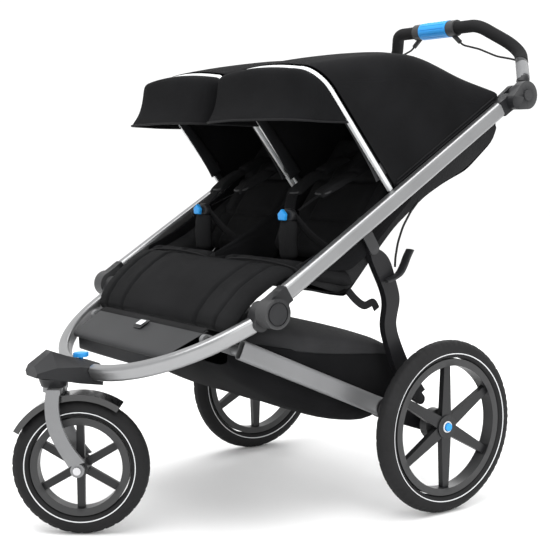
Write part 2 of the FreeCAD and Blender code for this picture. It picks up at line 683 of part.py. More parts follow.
def rim(seat, hole, hub_r, hub_half, bore, spoke_hub, spoke_rim, spoke_half):
    """A one-piece rim with six spokes, turning about the X axis."""
    channel = Part.makeCylinder(seat, 32.0, V(-16, 0, 0), V(1, 0, 0))
    channel = channel.cut(Part.makeCylinder(hole, 40.0, V(-20, 0, 0), V(1, 0, 0)))
    hub = Part.makeCylinder(hub_r, 2 * hub_half, V(-hub_half, 0, 0), V(1, 0, 0))
    parts = [hub]
    for i in range(6):
        corners = [V(-spoke_half, -spoke_hub, 8), V(-spoke_half, spoke_hub, 8),
                   V(-spoke_half, spoke_rim, hole + 2), V(-spoke_half, -spoke_rim, hole + 2)]
        spoke = Part.Face(Part.makePolygon(corners + [corners[0]])).extrude(V(2 * spoke_half, 0, 0))
        spoke.rotate(V(0, 0, 0), V(1, 0, 0), 60.0 * i)
        parts.append(spoke)
    body = channel.multiFuse(parts)
    return body.cut(Part.makeCylinder(bore, 200.0, V(-100, 0, 0), V(1, 0, 0))).removeSplitter()


def place_front(shape):
    shape.translate(V(0, TRAIL, FRONT_RADIUS))
    return steer(shape)


def place_rear(shape):
    shape.translate(V(REAR_X, AXLE_Y, REAR_RADIUS))
    return shape


# ---------------------------------------------------------------- rear legs, axle and brakes
LEG_INNER = 240.0             # inner face of the leg's front ear
LEG_PITCH = -23.6
LEG_LINE = (-363.0, 351.0)    # a place on the leg's middle line
LEG_FRONT = -162.0            # the tube's two ends, from that place
LEG_REAR = 300.0
AXLE_R = 6.0
AXLE_PLACE = (0.0, REAR_RADIUS)


def rear_leg():
    """The flat oval leg with its front ear, reaching in behind the lower tube."""
    tube = straight_tube(LEG_X, along(LEG_LINE, LEG_PITCH, LEG_FRONT), LEG_PITCH, LEG_REAR - LEG_FRONT,
                         LEG_W, LEG_H, 8.0, 2.0)
    c, s = direction(LEG_PITCH)
    tongue = rounded_section(at(LEG_X, along(LEG_LINE, LEG_PITCH, LEG_FRONT - 4)), V(1, 0, 0), V(0, -s, c),
                             LEG_W - 4.4, LEG_H - 4.4, 5.0)
    tongue = Part.Face(tongue).extrude(V(0, c, s) * 40.0)
    ear_end = along(LEG_LINE, LEG_PITCH, LEG_FRONT + 26)
    ear = link(LEG_PIVOT, ear_end, 12.5, 12.5, LEG_INNER, LEG_INNER + 12)
    bridge = link(along(LEG_LINE, LEG_PITCH, LEG_FRONT + 20), along(LEG_LINE, LEG_PITCH, LEG_FRONT + 34), 11.0, 11.0,
                  LEG_INNER + 6, LEG_X - LEG_W / 2 + 4)
    ear = ear.multiFuse([bridge, tongue])
    ear = ear.cut(tube)
    ear = ear.cut(cylinder_x(LEG_PIVOT, 5.0 + RUN, LEG_INNER - 5, LEG_INNER + 20))
    return Part.Compound([tube, max(ear.Solids, key=lambda solid: solid.Volume)])


def rear_axle():
    """The cross tube, with a bracket clasping each leg and a stub for each wheel."""
    inner_x = LEG_X - LEG_W / 2 - 4
    outer_x = LEG_X + LEG_W / 2 + 4
    tube = cylinder_x(AXLE_PLACE, 14.0, -inner_x - 2, inner_x + 2)
    parts = []
    leg_end = along(LEG_LINE, LEG_PITCH, LEG_REAR)
    leg_in = along(LEG_LINE, LEG_PITCH, LEG_REAR - 34)
    arm = link(leg_in, AXLE_PLACE, 24.0, 22.0, inner_x, outer_x)
    c, s = direction(LEG_PITCH)
    socket = rounded_section(at(LEG_X, leg_end), V(1, 0, 0), V(0, -s, c), LEG_W + 0.4, LEG_H + 0.4, 8.0)
    arm = arm.cut(Part.Face(socket).extrude(V(0, -c, -s) * 100.0))
    stub = cylinder_x(AXLE_PLACE, AXLE_R, outer_x - 2, REAR_X + 2)
    collar = cylinder_x(AXLE_PLACE, 10.0, outer_x - 1, outer_x + 20)
    left = arm.multiFuse([stub, collar])
    body = tube.multiFuse([left, mirror(left)])
    return body.removeSplitter()


def brake_drums():
    """The back plates and cable arms beside the rear wheels."""
    x0 = STRUT_X + STRUT_W / 2 + 3.0
    plate = cylinder_x(AXLE_PLACE, 37.0, x0, x0 + 22.0)
    plate = plate.cut(cylinder_x(AXLE_PLACE, AXLE_R + 0.3, x0 - 1, x0 + 30))
    arm = link((-14.0, REAR_RADIUS - 28.0), (-36.0, REAR_RADIUS - 46.0), 7.0, 5.0, x0 + 2, x0 + 8)
    left = plate.fuse(arm).removeSplitter()
    return Part.Compound([left, mirror(left)])


def brake_pedal():
    """The parking-brake pedal, turning about the cross tube."""
    ring = ring_x(AXLE_PLACE, 20.0, 14.0 + RUN, 180.0, 212.0)
    pad = profile([(14, 204), (14, 192), (62, 176), (74, 182), (72, 190)], 172.0, 220.0)
    pad = pad.cut(cylinder_x(AXLE_PLACE, 14.0 + RUN, 150, 240))
    return ring.fuse(pad).removeSplitter()


def basket():
    """The storage basket between the rear legs: an open tub with a sloping floor."""
    outline = [(-502, 385), (-300, 376), (-70, 352), (-44, 300), (-62, 250), (-150, 226), (-300, 258),
               (-440, 318), (-520, 362)]
    outer = profile(outline, -LEG_X + 16, LEG_X - 16)
    inner = [(-490, 400), (-300, 400), (-78, 370), (-56, 300), (-72, 256), (-150, 234), (-300, 266),
             (-440, 326), (-506, 366)]
    tub = outer.cut(profile(inner, -LEG_X + 21, LEG_X - 21))
    return tub.fuse(basket_lid()).removeSplitter()


def lid_quad(half, front, back):
    corners = [at(-half, front), at(half, front), at(half, back), at(-half, back)]
    return Part.makePolygon(corners + [corners[0]])


def basket_lid():
    """The domed fabric cover, open at its two sides, that keeps clear of the legs' front ears."""
    roof = Part.makeLoft([lid_quad(236, (-504, 378), (-76, 348)), lid_quad(160, (-462, 449), (-180, 424))], True, True)
    room = Part.makeLoft([lid_quad(232, (-498, 370), (-82, 340)), lid_quad(156, (-457, 444), (-185, 419))], True, True)
    shell = roof.cut(room)
    inside = profile([(-510, 340), (-488, 340), (-488, 500), (-510, 500)], -300, 300)
    return shell.cut(inside.common(profile([(-520, 300), (-480, 300), (-480, 370), (-520, 370)], -300, 300)))


# ---------------------------------------------------------------- back struts
def back_strut():
    """The S-shaped strut from the upper frame down to the rear axle."""
    front = [(-191, 622), (-176, 575), (-152, 530), (-139, 485), (-144, 445), (-133, 396), (-104, 330), (-50, 262)]
    back = [(-163, 612), (-136, 593), (-112, 540), (-100, 494), (-109, 446), (-97, 402), (-70, 350), (-18, 280)]
    x0, x1 = STRUT_X - STRUT_W / 2, STRUT_X + STRUT_W / 2
    body = smooth_profile(front, back, x0, x1)
    head = cylinder_x(STRUT_TOP, 16.0, x0, x1)
    ankle = link((-36.0, 268.0), (-22.0, 256.0), 15.0, 12.0, x0, x0 + 9)
    body = body.multiFuse([head, ankle])
    return body.cut(cylinder_x(STRUT_TOP, 5.0 + RUN, x0 - 5, x1 + 5)).removeSplitter()


def fold_hook():
    """The curved catch on the left strut that holds the folded frame."""
    line = [(-128, 545), (-96, 556), (-74, 576), (-66, 600)]
    x0, x1 = STRUT_X + STRUT_W / 2 + 0.3, STRUT_X + STRUT_W / 2 + 12
    outer = [(-146, 524), (-112, 532), (-84, 545), (-64, 566), (-53, 594), (-58, 616)]
    inner = [(-76, 612), (-76, 594), (-86, 578), (-102, 566), (-132, 560), (-150, 556)]
    body = profile(outer + inner, x0 - 12.0, x1 + 18.0)
    body = body.cut(profile([(-72, 606), (-60, 606), (-66, 574), (-82, 580)], x0 + 4, x1 + 2))
    keep_clear = profile([(-200, 500), (-104, 500), (-104, 590), (-200, 590)], 0, x0)
    return body.cut(keep_clear)


def brake_cable_lower():
    """The brake cable from the upper frame down to the left strut."""
    x = STRUT_X + 2
    points = [V(x, AXLE_Y - 40, 716), V(x, AXLE_Y - 62, 694), V(x, AXLE_Y - 86, 660), V(x, AXLE_Y - 101, 624),
              V(x, AXLE_Y - 108, 590), V(x, AXLE_Y - 109, 569)]
    return round_pipe(rounded_path(points, [80.0, 110.0, 120.0, 90.0]), 2.5)


# ---------------------------------------------------------------- write the parts
def pair(name, shape):
    return {name + "_left": shape, name + "_right": mirror(shape)}


def build():
    parts = {}
    parts.update(pair("upper_tube", upper_tube()))
    parts.update(pair("fold_housing", fold_housing()))
    parts.update(pair("handle_mount", handle_mount()))
    parts.update(pair("seat_base", seat_base()))
    parts.update(pair("seat_back", seat_back()))
    parts.update(pair("canopy_bow", canopy_bow()))
    parts.update(pair("canopy_shell", canopy_shell()))
    parts.update(pair("buckle_button", buckle_button()))
    parts.update(pair("handle_button", handle_button()))
    parts.update(pair("lower_tube", lower_tube()))
    parts.update(pair("fold_knuckle", fold_knuckle()))
    parts.update(pair("rear_leg", rear_leg()))
    parts.update(pair("back_strut", back_strut()))
    parts.update(pair("rear_tyre", place_rear(tyre(REAR_RADIUS, 158.0))))
    parts.update(pair("rear_rim", place_rear(rear_rim())))
    parts.update(pair("hub_button", hub_button()))
    parts["frame_pins"] = fold_pins()
    parts["rear_panel"] = rear_panel()
    parts["side_panels"] = side_panels()
    parts["crotch_pads"] = crotch_pads()
    parts["leg_rest_pad"] = leg_rest_pad()
    parts["canopy_rear"] = canopy_rear()
    parts["canopy_plates"] = canopy_plates()
    parts["handlebar_tube"] = handlebar_tube()
    parts["handlebar_grip"] = handlebar_grip()
    parts["handlebar_fittings"] = handlebar_fittings()
    parts["twist_grip"] = twist_grip()
    parts["brake_cable_upper"] = upper_cables()
    parts["front_hub"] = front_hub()
    parts["swivel_lock_knob"] = swivel_lock_knob()
    parts["footrest_panel"] = footrest_panel()
    parts["footrest_skirt"] = footrest_skirt()
    parts["leg_pins"] = leg_pins()
    parts["fork"] = fork()
    parts["fender"] = fender()
    parts["front_axle"] = front_axle()
    parts["front_tyre"] = place_front(tyre(FRONT_RADIUS, 108.0))
    parts["front_rim"] = place_front(rim(108.0, 92.0, 20.0, 30.0, 5.0 + RUN, 9.0, 8.0, 6.0))
    parts["rear_axle"] = rear_axle()
    parts["brake_drums"] = brake_drums()
    parts["brake_pedal"] = brake_pedal()
    parts["basket"] = basket()
    parts["fold_hook"] = fold_hook()
    parts["brake_cable_lower"] = brake_cable_lower()
    return parts


HUB_FACE = 10.0               # outer face of the rear hub from the wheel's middle plane


def rear_rim():
    body = rim(158.0, 142.0, 27.0, HUB_FACE, AXLE_R + RUN, 15.0, 9.0, 7.0)
    pocket = Part.makeCylinder(9.3, 7.0, V(HUB_FACE - 6.0, 0, 0), V(1, 0, 0))
    return body.cut(pocket)


def hub_button():
    return place_rear(Part.makeCylinder(9.0, 8.0, V(HUB_FACE - 2.0, 0, 0), V(1, 0, 0)))


def main():
    os.makedirs("parts", exist_ok=True)
    box = FreeCAD.BoundBox()
    for name, shape in sorted(build().items()):
        shape.exportStep("parts/" + name + ".step")
        box.add(shape.BoundBox)
        print("%-20s solids %d valid %s volume %.0f" % (name, len(shape.Solids), shape.isValid(), shape.Volume))
    print("box", box)


main()
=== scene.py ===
import bpy
import bmesh
import json
import math
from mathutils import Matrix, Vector, noise


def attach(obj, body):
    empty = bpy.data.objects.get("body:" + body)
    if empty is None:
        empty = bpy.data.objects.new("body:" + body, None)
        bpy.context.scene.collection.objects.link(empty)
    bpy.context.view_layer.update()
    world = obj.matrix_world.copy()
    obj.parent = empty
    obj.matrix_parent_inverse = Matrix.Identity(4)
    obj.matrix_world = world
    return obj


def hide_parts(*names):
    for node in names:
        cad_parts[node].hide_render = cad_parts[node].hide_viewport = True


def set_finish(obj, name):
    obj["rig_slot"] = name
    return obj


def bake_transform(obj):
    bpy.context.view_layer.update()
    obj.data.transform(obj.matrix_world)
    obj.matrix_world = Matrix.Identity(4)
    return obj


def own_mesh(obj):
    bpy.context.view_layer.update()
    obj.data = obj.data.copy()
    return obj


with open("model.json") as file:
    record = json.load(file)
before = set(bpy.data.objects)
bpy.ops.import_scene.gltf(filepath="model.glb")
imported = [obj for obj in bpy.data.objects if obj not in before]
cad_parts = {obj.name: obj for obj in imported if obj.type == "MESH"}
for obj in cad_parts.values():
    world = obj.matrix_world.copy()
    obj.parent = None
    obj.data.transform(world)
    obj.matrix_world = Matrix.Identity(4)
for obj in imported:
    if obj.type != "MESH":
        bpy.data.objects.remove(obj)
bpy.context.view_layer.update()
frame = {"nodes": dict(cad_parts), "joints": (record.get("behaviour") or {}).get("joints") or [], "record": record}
RECORD = frame["record"]
MM = 1000.0                         # millimetres in a metre
AXLE_Y = 0.242                      # the rear axle's place along Y in metres; P() counts from it
BUCKLE_X = 178.0                    # each buckle's distance from the middle
HARNESS_X = 164.0                   # the middle of each pair of shoulder straps
STRIPE_STEPS = 160                  # points round a tyre's reflective stripe


def P(x, y, z):
    return Vector((x / MM, y / MM + AXLE_Y, z / MM))


# ---------------------------------------------------------------- materials
def material(name, color, rough, metal=0.0, bump=(), mottle=0.0, shine=0.5, coat=0.0, edge=0.0):
    """A principled material: bump is (kind, scale, strength) layers, mottle a soft change of colour, edge the
    strength of a painted highlight on convex edges.
    """
    mat = bpy.data.materials.new(name)
    mat.use_nodes = True
    nodes, links = mat.node_tree.nodes, mat.node_tree.links
    shader = nodes["Principled BSDF"]
    shader.inputs["Roughness"].default_value = rough
    shader.inputs["Metallic"].default_value = metal
    shader.inputs["Specular IOR Level"].default_value = shine
    shader.inputs["Coat Weight"].default_value = coat
    shader.inputs["Coat Roughness"].default_value = 0.12
    coords = nodes.new("ShaderNodeTexCoord")
    cloud = nodes.new("ShaderNodeTexNoise")
    cloud.inputs["Scale"].default_value = 9.0
    cloud.inputs["Detail"].default_value = 5.0
    links.new(coords.outputs["Object"], cloud.inputs["Vector"])
    ramp = nodes.new("ShaderNodeValToRGB")
    low = [c * (1.0 - mottle) for c in color]
    high = [min(1.0, c * (1.0 + mottle)) for c in color]
    ramp.color_ramp.elements[0].position = 0.3
    ramp.color_ramp.elements[0].color = (*low, 1.0)
    ramp.color_ramp.elements[1].position = 0.7
    ramp.color_ramp.elements[1].color = (*high, 1.0)
    links.new(cloud.outputs["Fac"], ramp.inputs["Fac"])
    colour = ramp.outputs["Color"]
    # Painted highlight: convex edges (found by pointiness) are made lighter by edge, standing in for the light a
    # rounded edge catches.
    if edge:
        geometry = nodes.new("ShaderNodeNewGeometry")
        painted_edge_highlight = nodes.new("ShaderNodeValToRGB")
        painted_edge_highlight.color_ramp.elements[0].position = 0.54
        painted_edge_highlight.color_ramp.elements[0].color = (0, 0, 0, 1)
        painted_edge_highlight.color_ramp.elements[1].position = 0.62
        painted_edge_highlight.color_ramp.elements[1].color = (edge, edge, edge, 1)
        links.new(geometry.outputs["Pointiness"], painted_edge_highlight.inputs["Fac"])
        mix = nodes.new("ShaderNodeMix")
        mix.data_type = "RGBA"
        mix.blend_type = "ADD"
        mix.inputs["Factor"].default_value = 1.0
        links.new(colour, mix.inputs["A"])
        links.new(painted_edge_highlight.outputs["Color"], mix.inputs["B"])
        colour = mix.outputs["Result"]
    links.new(colour, shader.inputs["Base Color"])
    normal = None
    for kind, scale, strength in bump:
        if kind == "noise":
            tex = nodes.new("ShaderNodeTexNoise")
            tex.inputs["Detail"].default_value = 6.0
            out = tex.outputs["Fac"]
        elif kind == "cells":
            tex = nodes.new("ShaderNodeTexVoronoi")
            out = tex.outputs["Distance"]
        else:
            tex = nodes.new("ShaderNodeTexWave")
            tex.bands_direction = kind
            out = tex.outputs["Fac"]
        tex.inputs["Scale"].default_value = scale
        links.new(coords.outputs["Object"], tex.inputs["Vector"])
        node = nodes.new("ShaderNodeBump")
        node.inputs["Strength"].default_value = strength
        node.inputs["Distance"].default_value = 0.001
        links.new(out, node.inputs["Height"])
        if normal:
            links.new(normal, node.inputs["Normal"])
        normal = node.outputs["Normal"]
    if normal:
        links.new(normal, shader.inputs["Normal"])
    return mat


WEAVE = (("X", 420.0, 0.35), ("Z", 420.0, 0.35), ("noise", 60.0, 0.25))
# charcoal_plastic, grey_plastic and rim get edge=..., a painted highlight on their convex edges.
MATS = {
    "silver_tube": material("silver_tube", (0.28, 0.282, 0.286), 0.30, 0.85, (("noise", 900.0, 0.08),), 0.05),
    "charcoal_plastic": material("charcoal_plastic", (0.012, 0.0123, 0.0135), 0.46, 0.0,
                                 (("noise", 1400.0, 0.25),), 0.12, 0.22, edge=0.03),
    "sleeve": material("sleeve", (0.13, 0.132, 0.136), 0.5, 0.0, (("noise", 1200.0, 0.2),), 0.08, 0.3),
    "steel": material("steel", (0.52, 0.52, 0.53), 0.3, 1.0, (("noise", 700.0, 0.15),), 0.06),
    "grey_metal": material("grey_metal", (0.19, 0.192, 0.196), 0.4, 0.6, (("noise", 1200.0, 0.12),), 0.06),
    "black_metal": material("black_metal", (0.008, 0.008, 0.009), 0.38, 0.0, (("noise", 1200.0, 0.15),), 0.1,
                            0.25, coat=0.05),
    "black_fabric": material("black_fabric", (0.0075, 0.0076, 0.0082), 0.86, 0.0, WEAVE, 0.2, 0.05),
    "pad_fabric": material("pad_fabric", (0.0105, 0.0106, 0.0112), 0.82, 0.0, WEAVE, 0.22, 0.07),
    "grey_fabric": material("grey_fabric", (0.026, 0.0262, 0.0275), 0.85, 0.0, WEAVE, 0.2, 0.1),
    "mesh_fabric": material("mesh_fabric", (0.018, 0.0182, 0.019), 0.7, 0.0, (("cells", 260.0, 0.9),),
                            0.2, 0.1),
    "webbing": material("webbing", (0.010, 0.010, 0.011), 0.7, 0.0, (("X", 700.0, 0.6), ("Z", 500.0, 0.5)),
                        0.15, 0.15),
    "silver_trim": material("silver_trim", (0.62, 0.63, 0.635), 0.4, 0.2, (("noise", 500.0, 0.12),),
                            0.05, 0.3),
    "foam": material("foam", (0.013, 0.013, 0.0135), 0.9, 0.0, (("cells", 700.0, 0.5), ("noise", 300.0, 0.3)),
                     0.2, 0.1),
    "blue_plastic": material("blue_plastic", (0.022, 0.27, 0.66), 0.4, 0.0, (("noise", 900.0, 0.1),),
                             0.08, 0.3),
    "grey_plastic": material("grey_plastic", (0.028, 0.0285, 0.030), 0.5, 0.0, (("noise", 1300.0, 0.3),), 0.1,
                             0.2, edge=0.02),
    "gloss_black": material("gloss_black", (0.006, 0.006, 0.0065), 0.2, 0.0, (("noise", 40.0, 0.02),), 0.1,
                            coat=0.5),
    "tyre": material("tyre", (0.011, 0.011, 0.0115), 0.72, 0.0, (("noise", 1100.0, 0.3),), 0.2, 0.18),
    "rim": material("rim", (0.011, 0.0112, 0.012), 0.36, 0.0, (("noise", 1000.0, 0.15),), 0.1, 0.3,
                    edge=0.02),
    "cable": material("cable", (0.008, 0.008, 0.008), 0.45, 0.0, (("noise", 800.0, 0.1),), 0.1, 0.2),
    "white_stripe": material("white_stripe", (0.62, 0.63, 0.64), 0.5, 0.0, (("noise", 600.0, 0.1),), 0.04),
    "badge": material("badge", (0.70, 0.71, 0.72), 0.42, 0.1, (("noise", 600.0, 0.05),), 0.03),
}
SLOT_OF = {"pad_fabric": "black_fabric", "mesh_fabric": "black_fabric", "webbing": "black_fabric",
           "white_stripe": "tyre", "badge": "silver_trim", "sleeve": "grey_plastic"}
for part in RECORD["subparts"]:
    node = frame["nodes"][part["node"]]
    node.data.materials.clear()
    node.data.materials.append(MATS[part["material_slot"]])


# ---------------------------------------------------------------- mesh helpers
def piece(name, verts, faces, mat, smooth=True):
    mesh = bpy.data.meshes.new(name)
    mesh.from_pydata([tuple(v) for v in verts], [], faces)
    bm = bmesh.new()
    bm.from_mesh(mesh)
    bmesh.ops.remove_doubles(bm, verts=bm.verts, dist=1e-6)
    bmesh.ops.recalc_face_normals(bm, faces=bm.faces)
    bm.to_mesh(mesh)
    bm.free()
    obj = bpy.data.objects.new(name, mesh)
    bpy.context.scene.collection.objects.link(obj)
    mesh.materials.append(MATS[mat])
    for poly in mesh.polygons:
        poly.use_smooth = smooth
    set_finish(obj, SLOT_OF.get(mat, mat))
    return obj


def bake(obj, *modifiers):
    """Add modifiers given as (type, settings) and apply them all."""
    for kind, settings in modifiers:
        mod = obj.modifiers.new(kind, kind)
        for key, value in settings.items():
            setattr(mod, key, value)
    bpy.context.view_layer.update()
    graph = bpy.context.evaluated_depsgraph_get()
    mesh = bpy.data.meshes.new_from_object(obj.evaluated_get(graph))
    obj.modifiers.clear()
    obj.data = mesh
    for poly in mesh.polygons:
        poly.use_smooth = True
    return obj


def grid_faces(rows, cols, wrap=False):
    faces = []
    for i in range(rows - 1):
        for j in range(cols if wrap else cols - 1):
            k = (j + 1) % cols
            faces.append((i * cols + j, i * cols + k, (i + 1) * cols + k, (i + 1) * cols + j))
    return faces


def sheet(name, rows, mat, thickness=1.6, levels=1, offset=0.0):
    """A thin fabric surface through a grid of points."""
    verts = [p for row in rows for p in row]
    obj = piece(name, verts, grid_faces(len(rows), len(rows[0])), mat)
    return bake(obj, ("SOLIDIFY", {"thickness": thickness / MM, "offset": offset}),
                ("SUBSURF", {"levels": levels, "render_levels": levels}))


def tube(name, points, radius, mat, segments=10, taper=None, flat=1.0, up=Vector((0, 0, 1)), fine=6):
    """A tube or flat band along a smooth line through the points (metres)."""
    line = spline(points, fine)
    verts, n = [], len(line)
    for i, p in enumerate(line):
        ahead = (line[min(i + 1, n - 1)] - line[max(i - 1, 0)]).normalized()
        side = ahead.cross(up)
        side = side.normalized() if side.length > 1e-6 else Vector((1, 0, 0))
        lift = side.cross(ahead).normalized()
        r = radius / MM * (taper(i / (n - 1)) if taper else 1.0)
        for k in range(segments):
            a = 2 * math.pi * k / segments
            verts.append(p + side * (math.cos(a) * r) + lift * (math.sin(a) * r * flat))
    faces = grid_faces(n, segments, True)
    faces += [tuple(range(segments))[::-1], tuple(range((n - 1) * segments, n * segments))]
    return piece(name, verts, faces, mat)


def spline(points, fine):
    """Catmull-Rom points through the given ones."""
    if fine <= 1 or len(points) < 3:
        return list(points)
    out = []
    pts = [points[0]] + list(points) + [points[-1]]
    for i in range(1, len(pts) - 2):
        a, b, c, d = pts[i - 1:i + 3]
        for k in range(fine):
            t = k / fine
            out.append(0.5 * ((2 * b) + (c - a) * t + (2 * a - 5 * b + 4 * c - d) * t * t
                              + (3 * b - a - 3 * c + d) * t ** 3))
    out.append(points[-1])
    return out


def mirrored(obj, name):
    """The same piece for the other side."""
    mesh = obj.data.copy()
    for v in mesh.vertices:
        v.co.x = -v.co.x
    mesh.flip_normals()
    twin = bpy.data.objects.new(name, mesh)
    bpy.context.scene.collection.objects.link(twin)
    twin["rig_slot"] = obj.get("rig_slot", "")
    return twin


def lerp(a, b, t):
    return a + (b - a) * t


def along_line(places, t):
    """The (y, z) at a share t of a side-view line's length."""
    lengths = [math.dist(places[i], places[i + 1]) for i in range(len(places) - 1)]
    left = t * sum(lengths)
    for i, span in enumerate(lengths):
        if left <= span or i == len(lengths) - 1:
            u = min(1.0, left / span)
            return lerp(places[i][0], places[i + 1][0], u), lerp(places[i][1], places[i + 1][1], u)
        left -= span


def crease(v, scale, size):
    """A small even-handed wrinkle, in metres."""
    return noise.noise(v * scale) * size / MM


# ---------------------------------------------------------------- wheels
def wheel_pieces(tag, centre, axis, radius, body, seat):
    """A tyre with a block tread, and its reflective stripes."""
    axis = axis.normalized()
    up = Vector((0, 0, 1))
    ahead = up.cross(axis).normalized()
    up = axis.cross(ahead)
    tube_r, around, across = 22.5, int(radius * 1.44), 26
    mid = radius - tube_r
    verts = []
    for i in range(around):
        a = 2 * math.pi * i / around
        out = ahead * math.cos(a) + up * math.sin(a)
        for k in range(across):
            b = math.radians(-141 + 282 * k / (across - 1))
            r = tube_r - 0.5
            if abs(b) < 0.62:
                groove = (k % 4 == 1) or ((i + 2 * (k // 4)) % 6 < 1)
                r += -1.0 if groove else 0.45
            elif abs(b) < 0.95:
                r += 0.1 if i % 4 < 2 else -0.9
            height = min(mid + r * math.cos(b), radius)
            if height < seat:
                height = seat
            verts.append(centre + (out * height + axis * (r * math.sin(b))) / MM)
    faces = []
    for i in range(around):
        j = (i + 1) % around
        for k in range(across - 1):
            faces.append((i * across + k, j * across + k, j * across + k + 1, i * across + k + 1))
        faces.append((i * across, i * across + across - 1, j * across + across - 1, j * across))
    tyre = piece("tyre_" + tag, verts, faces, "tyre")
    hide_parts(tag.replace("front", "front_tyre") if tag == "front" else "rear_tyre_" + tag[5:])
    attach(tyre, body)
    for side in (-1, 1):
        verts = []
        for i in range(STRIPE_STEPS):
            a = 2 * math.pi * i / STRIPE_STEPS
            out = ahead * math.cos(a) + up * math.sin(a)
            for r in (mid - 8.2, mid - 6.0):
                x = math.sqrt(tube_r ** 2 - (r - mid) ** 2) - 0.2
                for lift in (0.0, 0.35):
                    verts.append(centre + (out * r + axis * side * (x + lift)) / MM)
        faces = []
        for i in range(STRIPE_STEPS):
            j = (i + 1) % STRIPE_STEPS
            for a, b in ((0, 1), (1, 3), (3, 2), (2, 0)):
                faces.append((i * 4 + a, j * 4 + a, j * 4 + b, i * 4 + b))
        stripe = piece("stripe_%s_%s" % (tag, "in" if side < 0 else "out"), verts, faces, "white_stripe")
        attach(stripe, body)
    stem_at = ahead * math.cos(0.5) + up * math.sin(0.5)
    stem_line = [centre + stem_at * (seat - 17) / MM, centre + stem_at * (seat - 34) / MM]
    stem = tube("valve_" + tag, stem_line, 3.2, "cable", 10, fine=1)
    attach(stem, body)


def joint(name):
    return next(j for j in frame["joints"] if j["name"] == name)


spin = joint("front_wheel_spin")
wheel_pieces("front", Vector(spin["pos_m"]), Vector(spin["axis"]), 150.0, "front_wheel", 108.0)
wheel_pieces("rear_left", P(380, 0, 200), Vector((1, 0, 0)), 200.0, "rear_wheel_left", 158.0)
wheel_pieces("rear_right", P(-380, 0, 200), Vector((1, 0, 0)), 200.0, "rear_wheel_right", 158.0)


# ---------------------------------------------------------------- canopies
def arch_points(base, top, x0, x1, radius=66.0, crown=10.0, inner=36.0):
    """Points round a rounded arch standing on base, as in the frame's bow."""
    rise = Vector((0, top[0] - base[0], top[1] - base[1]))
    height = rise.length
    rise.normalize()
    radius = min(radius, (height - crown) * 0.8)
    inner = min(inner, radius)
    shoulder = height - crown
    flat = []
    for k in range(9):
        flat.append((x0, (shoulder - inner) * k / 9))
    for k in range(8):
        a = math.pi / 2 * k / 8
        flat.append((x0 + inner * (1 - math.cos(a)), shoulder - inner * (1 - math.sin(a))))
    for k in range(15):
        u = -1 + 2 * k / 14
        flat.append((lerp(x0 + inner, x1 - radius, (u + 1) / 2), shoulder + crown * (1 - u * u)))
    for k in range(7, -1, -1):
        a = math.pi / 2 * k / 8
        flat.append((x1 - radius * (1 - math.cos(a)), shoulder - radius * (1 - math.sin(a))))
    for k in range(8, -1, -1):
        flat.append((x1, (shoulder - radius) * k / 9))
    return [P(x, base[0] + rise.y * h, base[1] + rise.z * h) for x, h in flat]


STATIONS = [((-130, 754), (-346, 1018)), ((-118, 762), (-262, 1040)), ((-94, 778), (-160, 1054)),
            ((-49, 804), (-49, 1063)), ((18, 845), (36, 1040)), ((92, 890), (108, 1014)),
            ((146, 924), (166, 994)), ((180, 944), (212, 975))]


def tube_top(y):
    """Height of the upper tube's top edge at a side-view place."""
    return 535.0 + (y + 431.5) * 0.6297 + 21.3


def canopy(side):
    rows = []
    for i, (base, top) in enumerate(STATIONS):
        row = arch_points(base, top, 9.0, 344.0)
        tight = i in (0, 3, 7)
        for k, p in enumerate(row):
            u = k / (len(row) - 1)
            sag = 0.0 if tight else 5.0 * math.sin(math.pi * u)
            inward = P(176.5, (base[0] + top[0]) / 2, (base[1] + top[1]) / 2) - p
            wrinkle = crease(p, 14.0, 2.2 if not tight else 0.5)
            row[k] = p + inward.normalized() * (sag / MM) + Vector((0, 0, wrinkle))
        y = base[0]
        row.append(P(342.0, y + 2, min(base[1], tube_top(y) + 8)))
        row.append(P(339.5, y + 4, tube_top(y) - 1))
        rows.append(row)
    obj = sheet("canopy_%s" % side, rows, "black_fabric", 2.0, 2)
    if side == "right":
        twin = mirrored(obj, "canopy_right_cover")
        bpy.data.objects.remove(obj)
        obj = twin
    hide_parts("canopy_shell_" + side, "canopy_rear")
    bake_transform(obj)
    return obj


RIM_LINE = [(343, -261), (342, -330), (340, -384), (333, -407), (317, -420), (294, -427), (236, -431),
            (176.5, -432)]
FALL = [(0.0, 0.0), (0.22, 0.005), (0.42, 0.03), (0.53, 0.085), (0.57, 0.20), (0.60, 0.38), (0.66, 0.58),
        (0.77, 0.79), (1.0, 1.0)]


def visor(side):
    """The stiff peak in front of the bow: out from the bow's top, down, and flared at its rim."""
    keep = [p for p in arch_points((-141, 746), (-357.4, 1009), 10.0, 343.0) if p.z > 0.889]
    run = [0.0]
    for a, b in zip(keep, keep[1:]):
        run.append(run[-1] + (b - a).length)
    rim = []
    for p, d in zip(keep, run):
        t = 2 * d / run[-1]
        x, y = along_line(RIM_LINE, min(t, 2 - t, 1.0))
        rim.append(P(353 - x if t < 1 else x, y, 889 + 5 * math.sin(math.pi * t / 2) ** 2))
    rows = []
    for out, down in FALL:
        row = []
        for p, q in zip(keep, rim):
            square = max(0.0, 1.009 - p.z) * 0.2 * min(1.0, max(0.0, (p.z - 0.925) / 0.035))
            top = p.z + square * math.sin(math.pi / 2 * min(1.0, out / 0.5))
            spot = Vector((lerp(p.x, q.x, out), lerp(p.y, q.y, out), lerp(top, q.z, down)))
            row.append(spot + Vector((0, 0, crease(spot, 16.0, 1.2) * out)))
        rows.append(row)
    obj = sheet("visor_" + side, rows, "black_fabric", 2.4, 2)
    edge = tube("visor_edge_" + side, rows[-1], 2.6, "webbing", 8, fine=2)
    if side == "right":
        twins = [mirrored(obj, "visor_right_cover"), mirrored(edge, "visor_right_edge")]
        bpy.data.objects.remove(obj)
        bpy.data.objects.remove(edge)
        obj, edge = twins
    for o in (obj, edge):
        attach(o, "canopy_" + side)


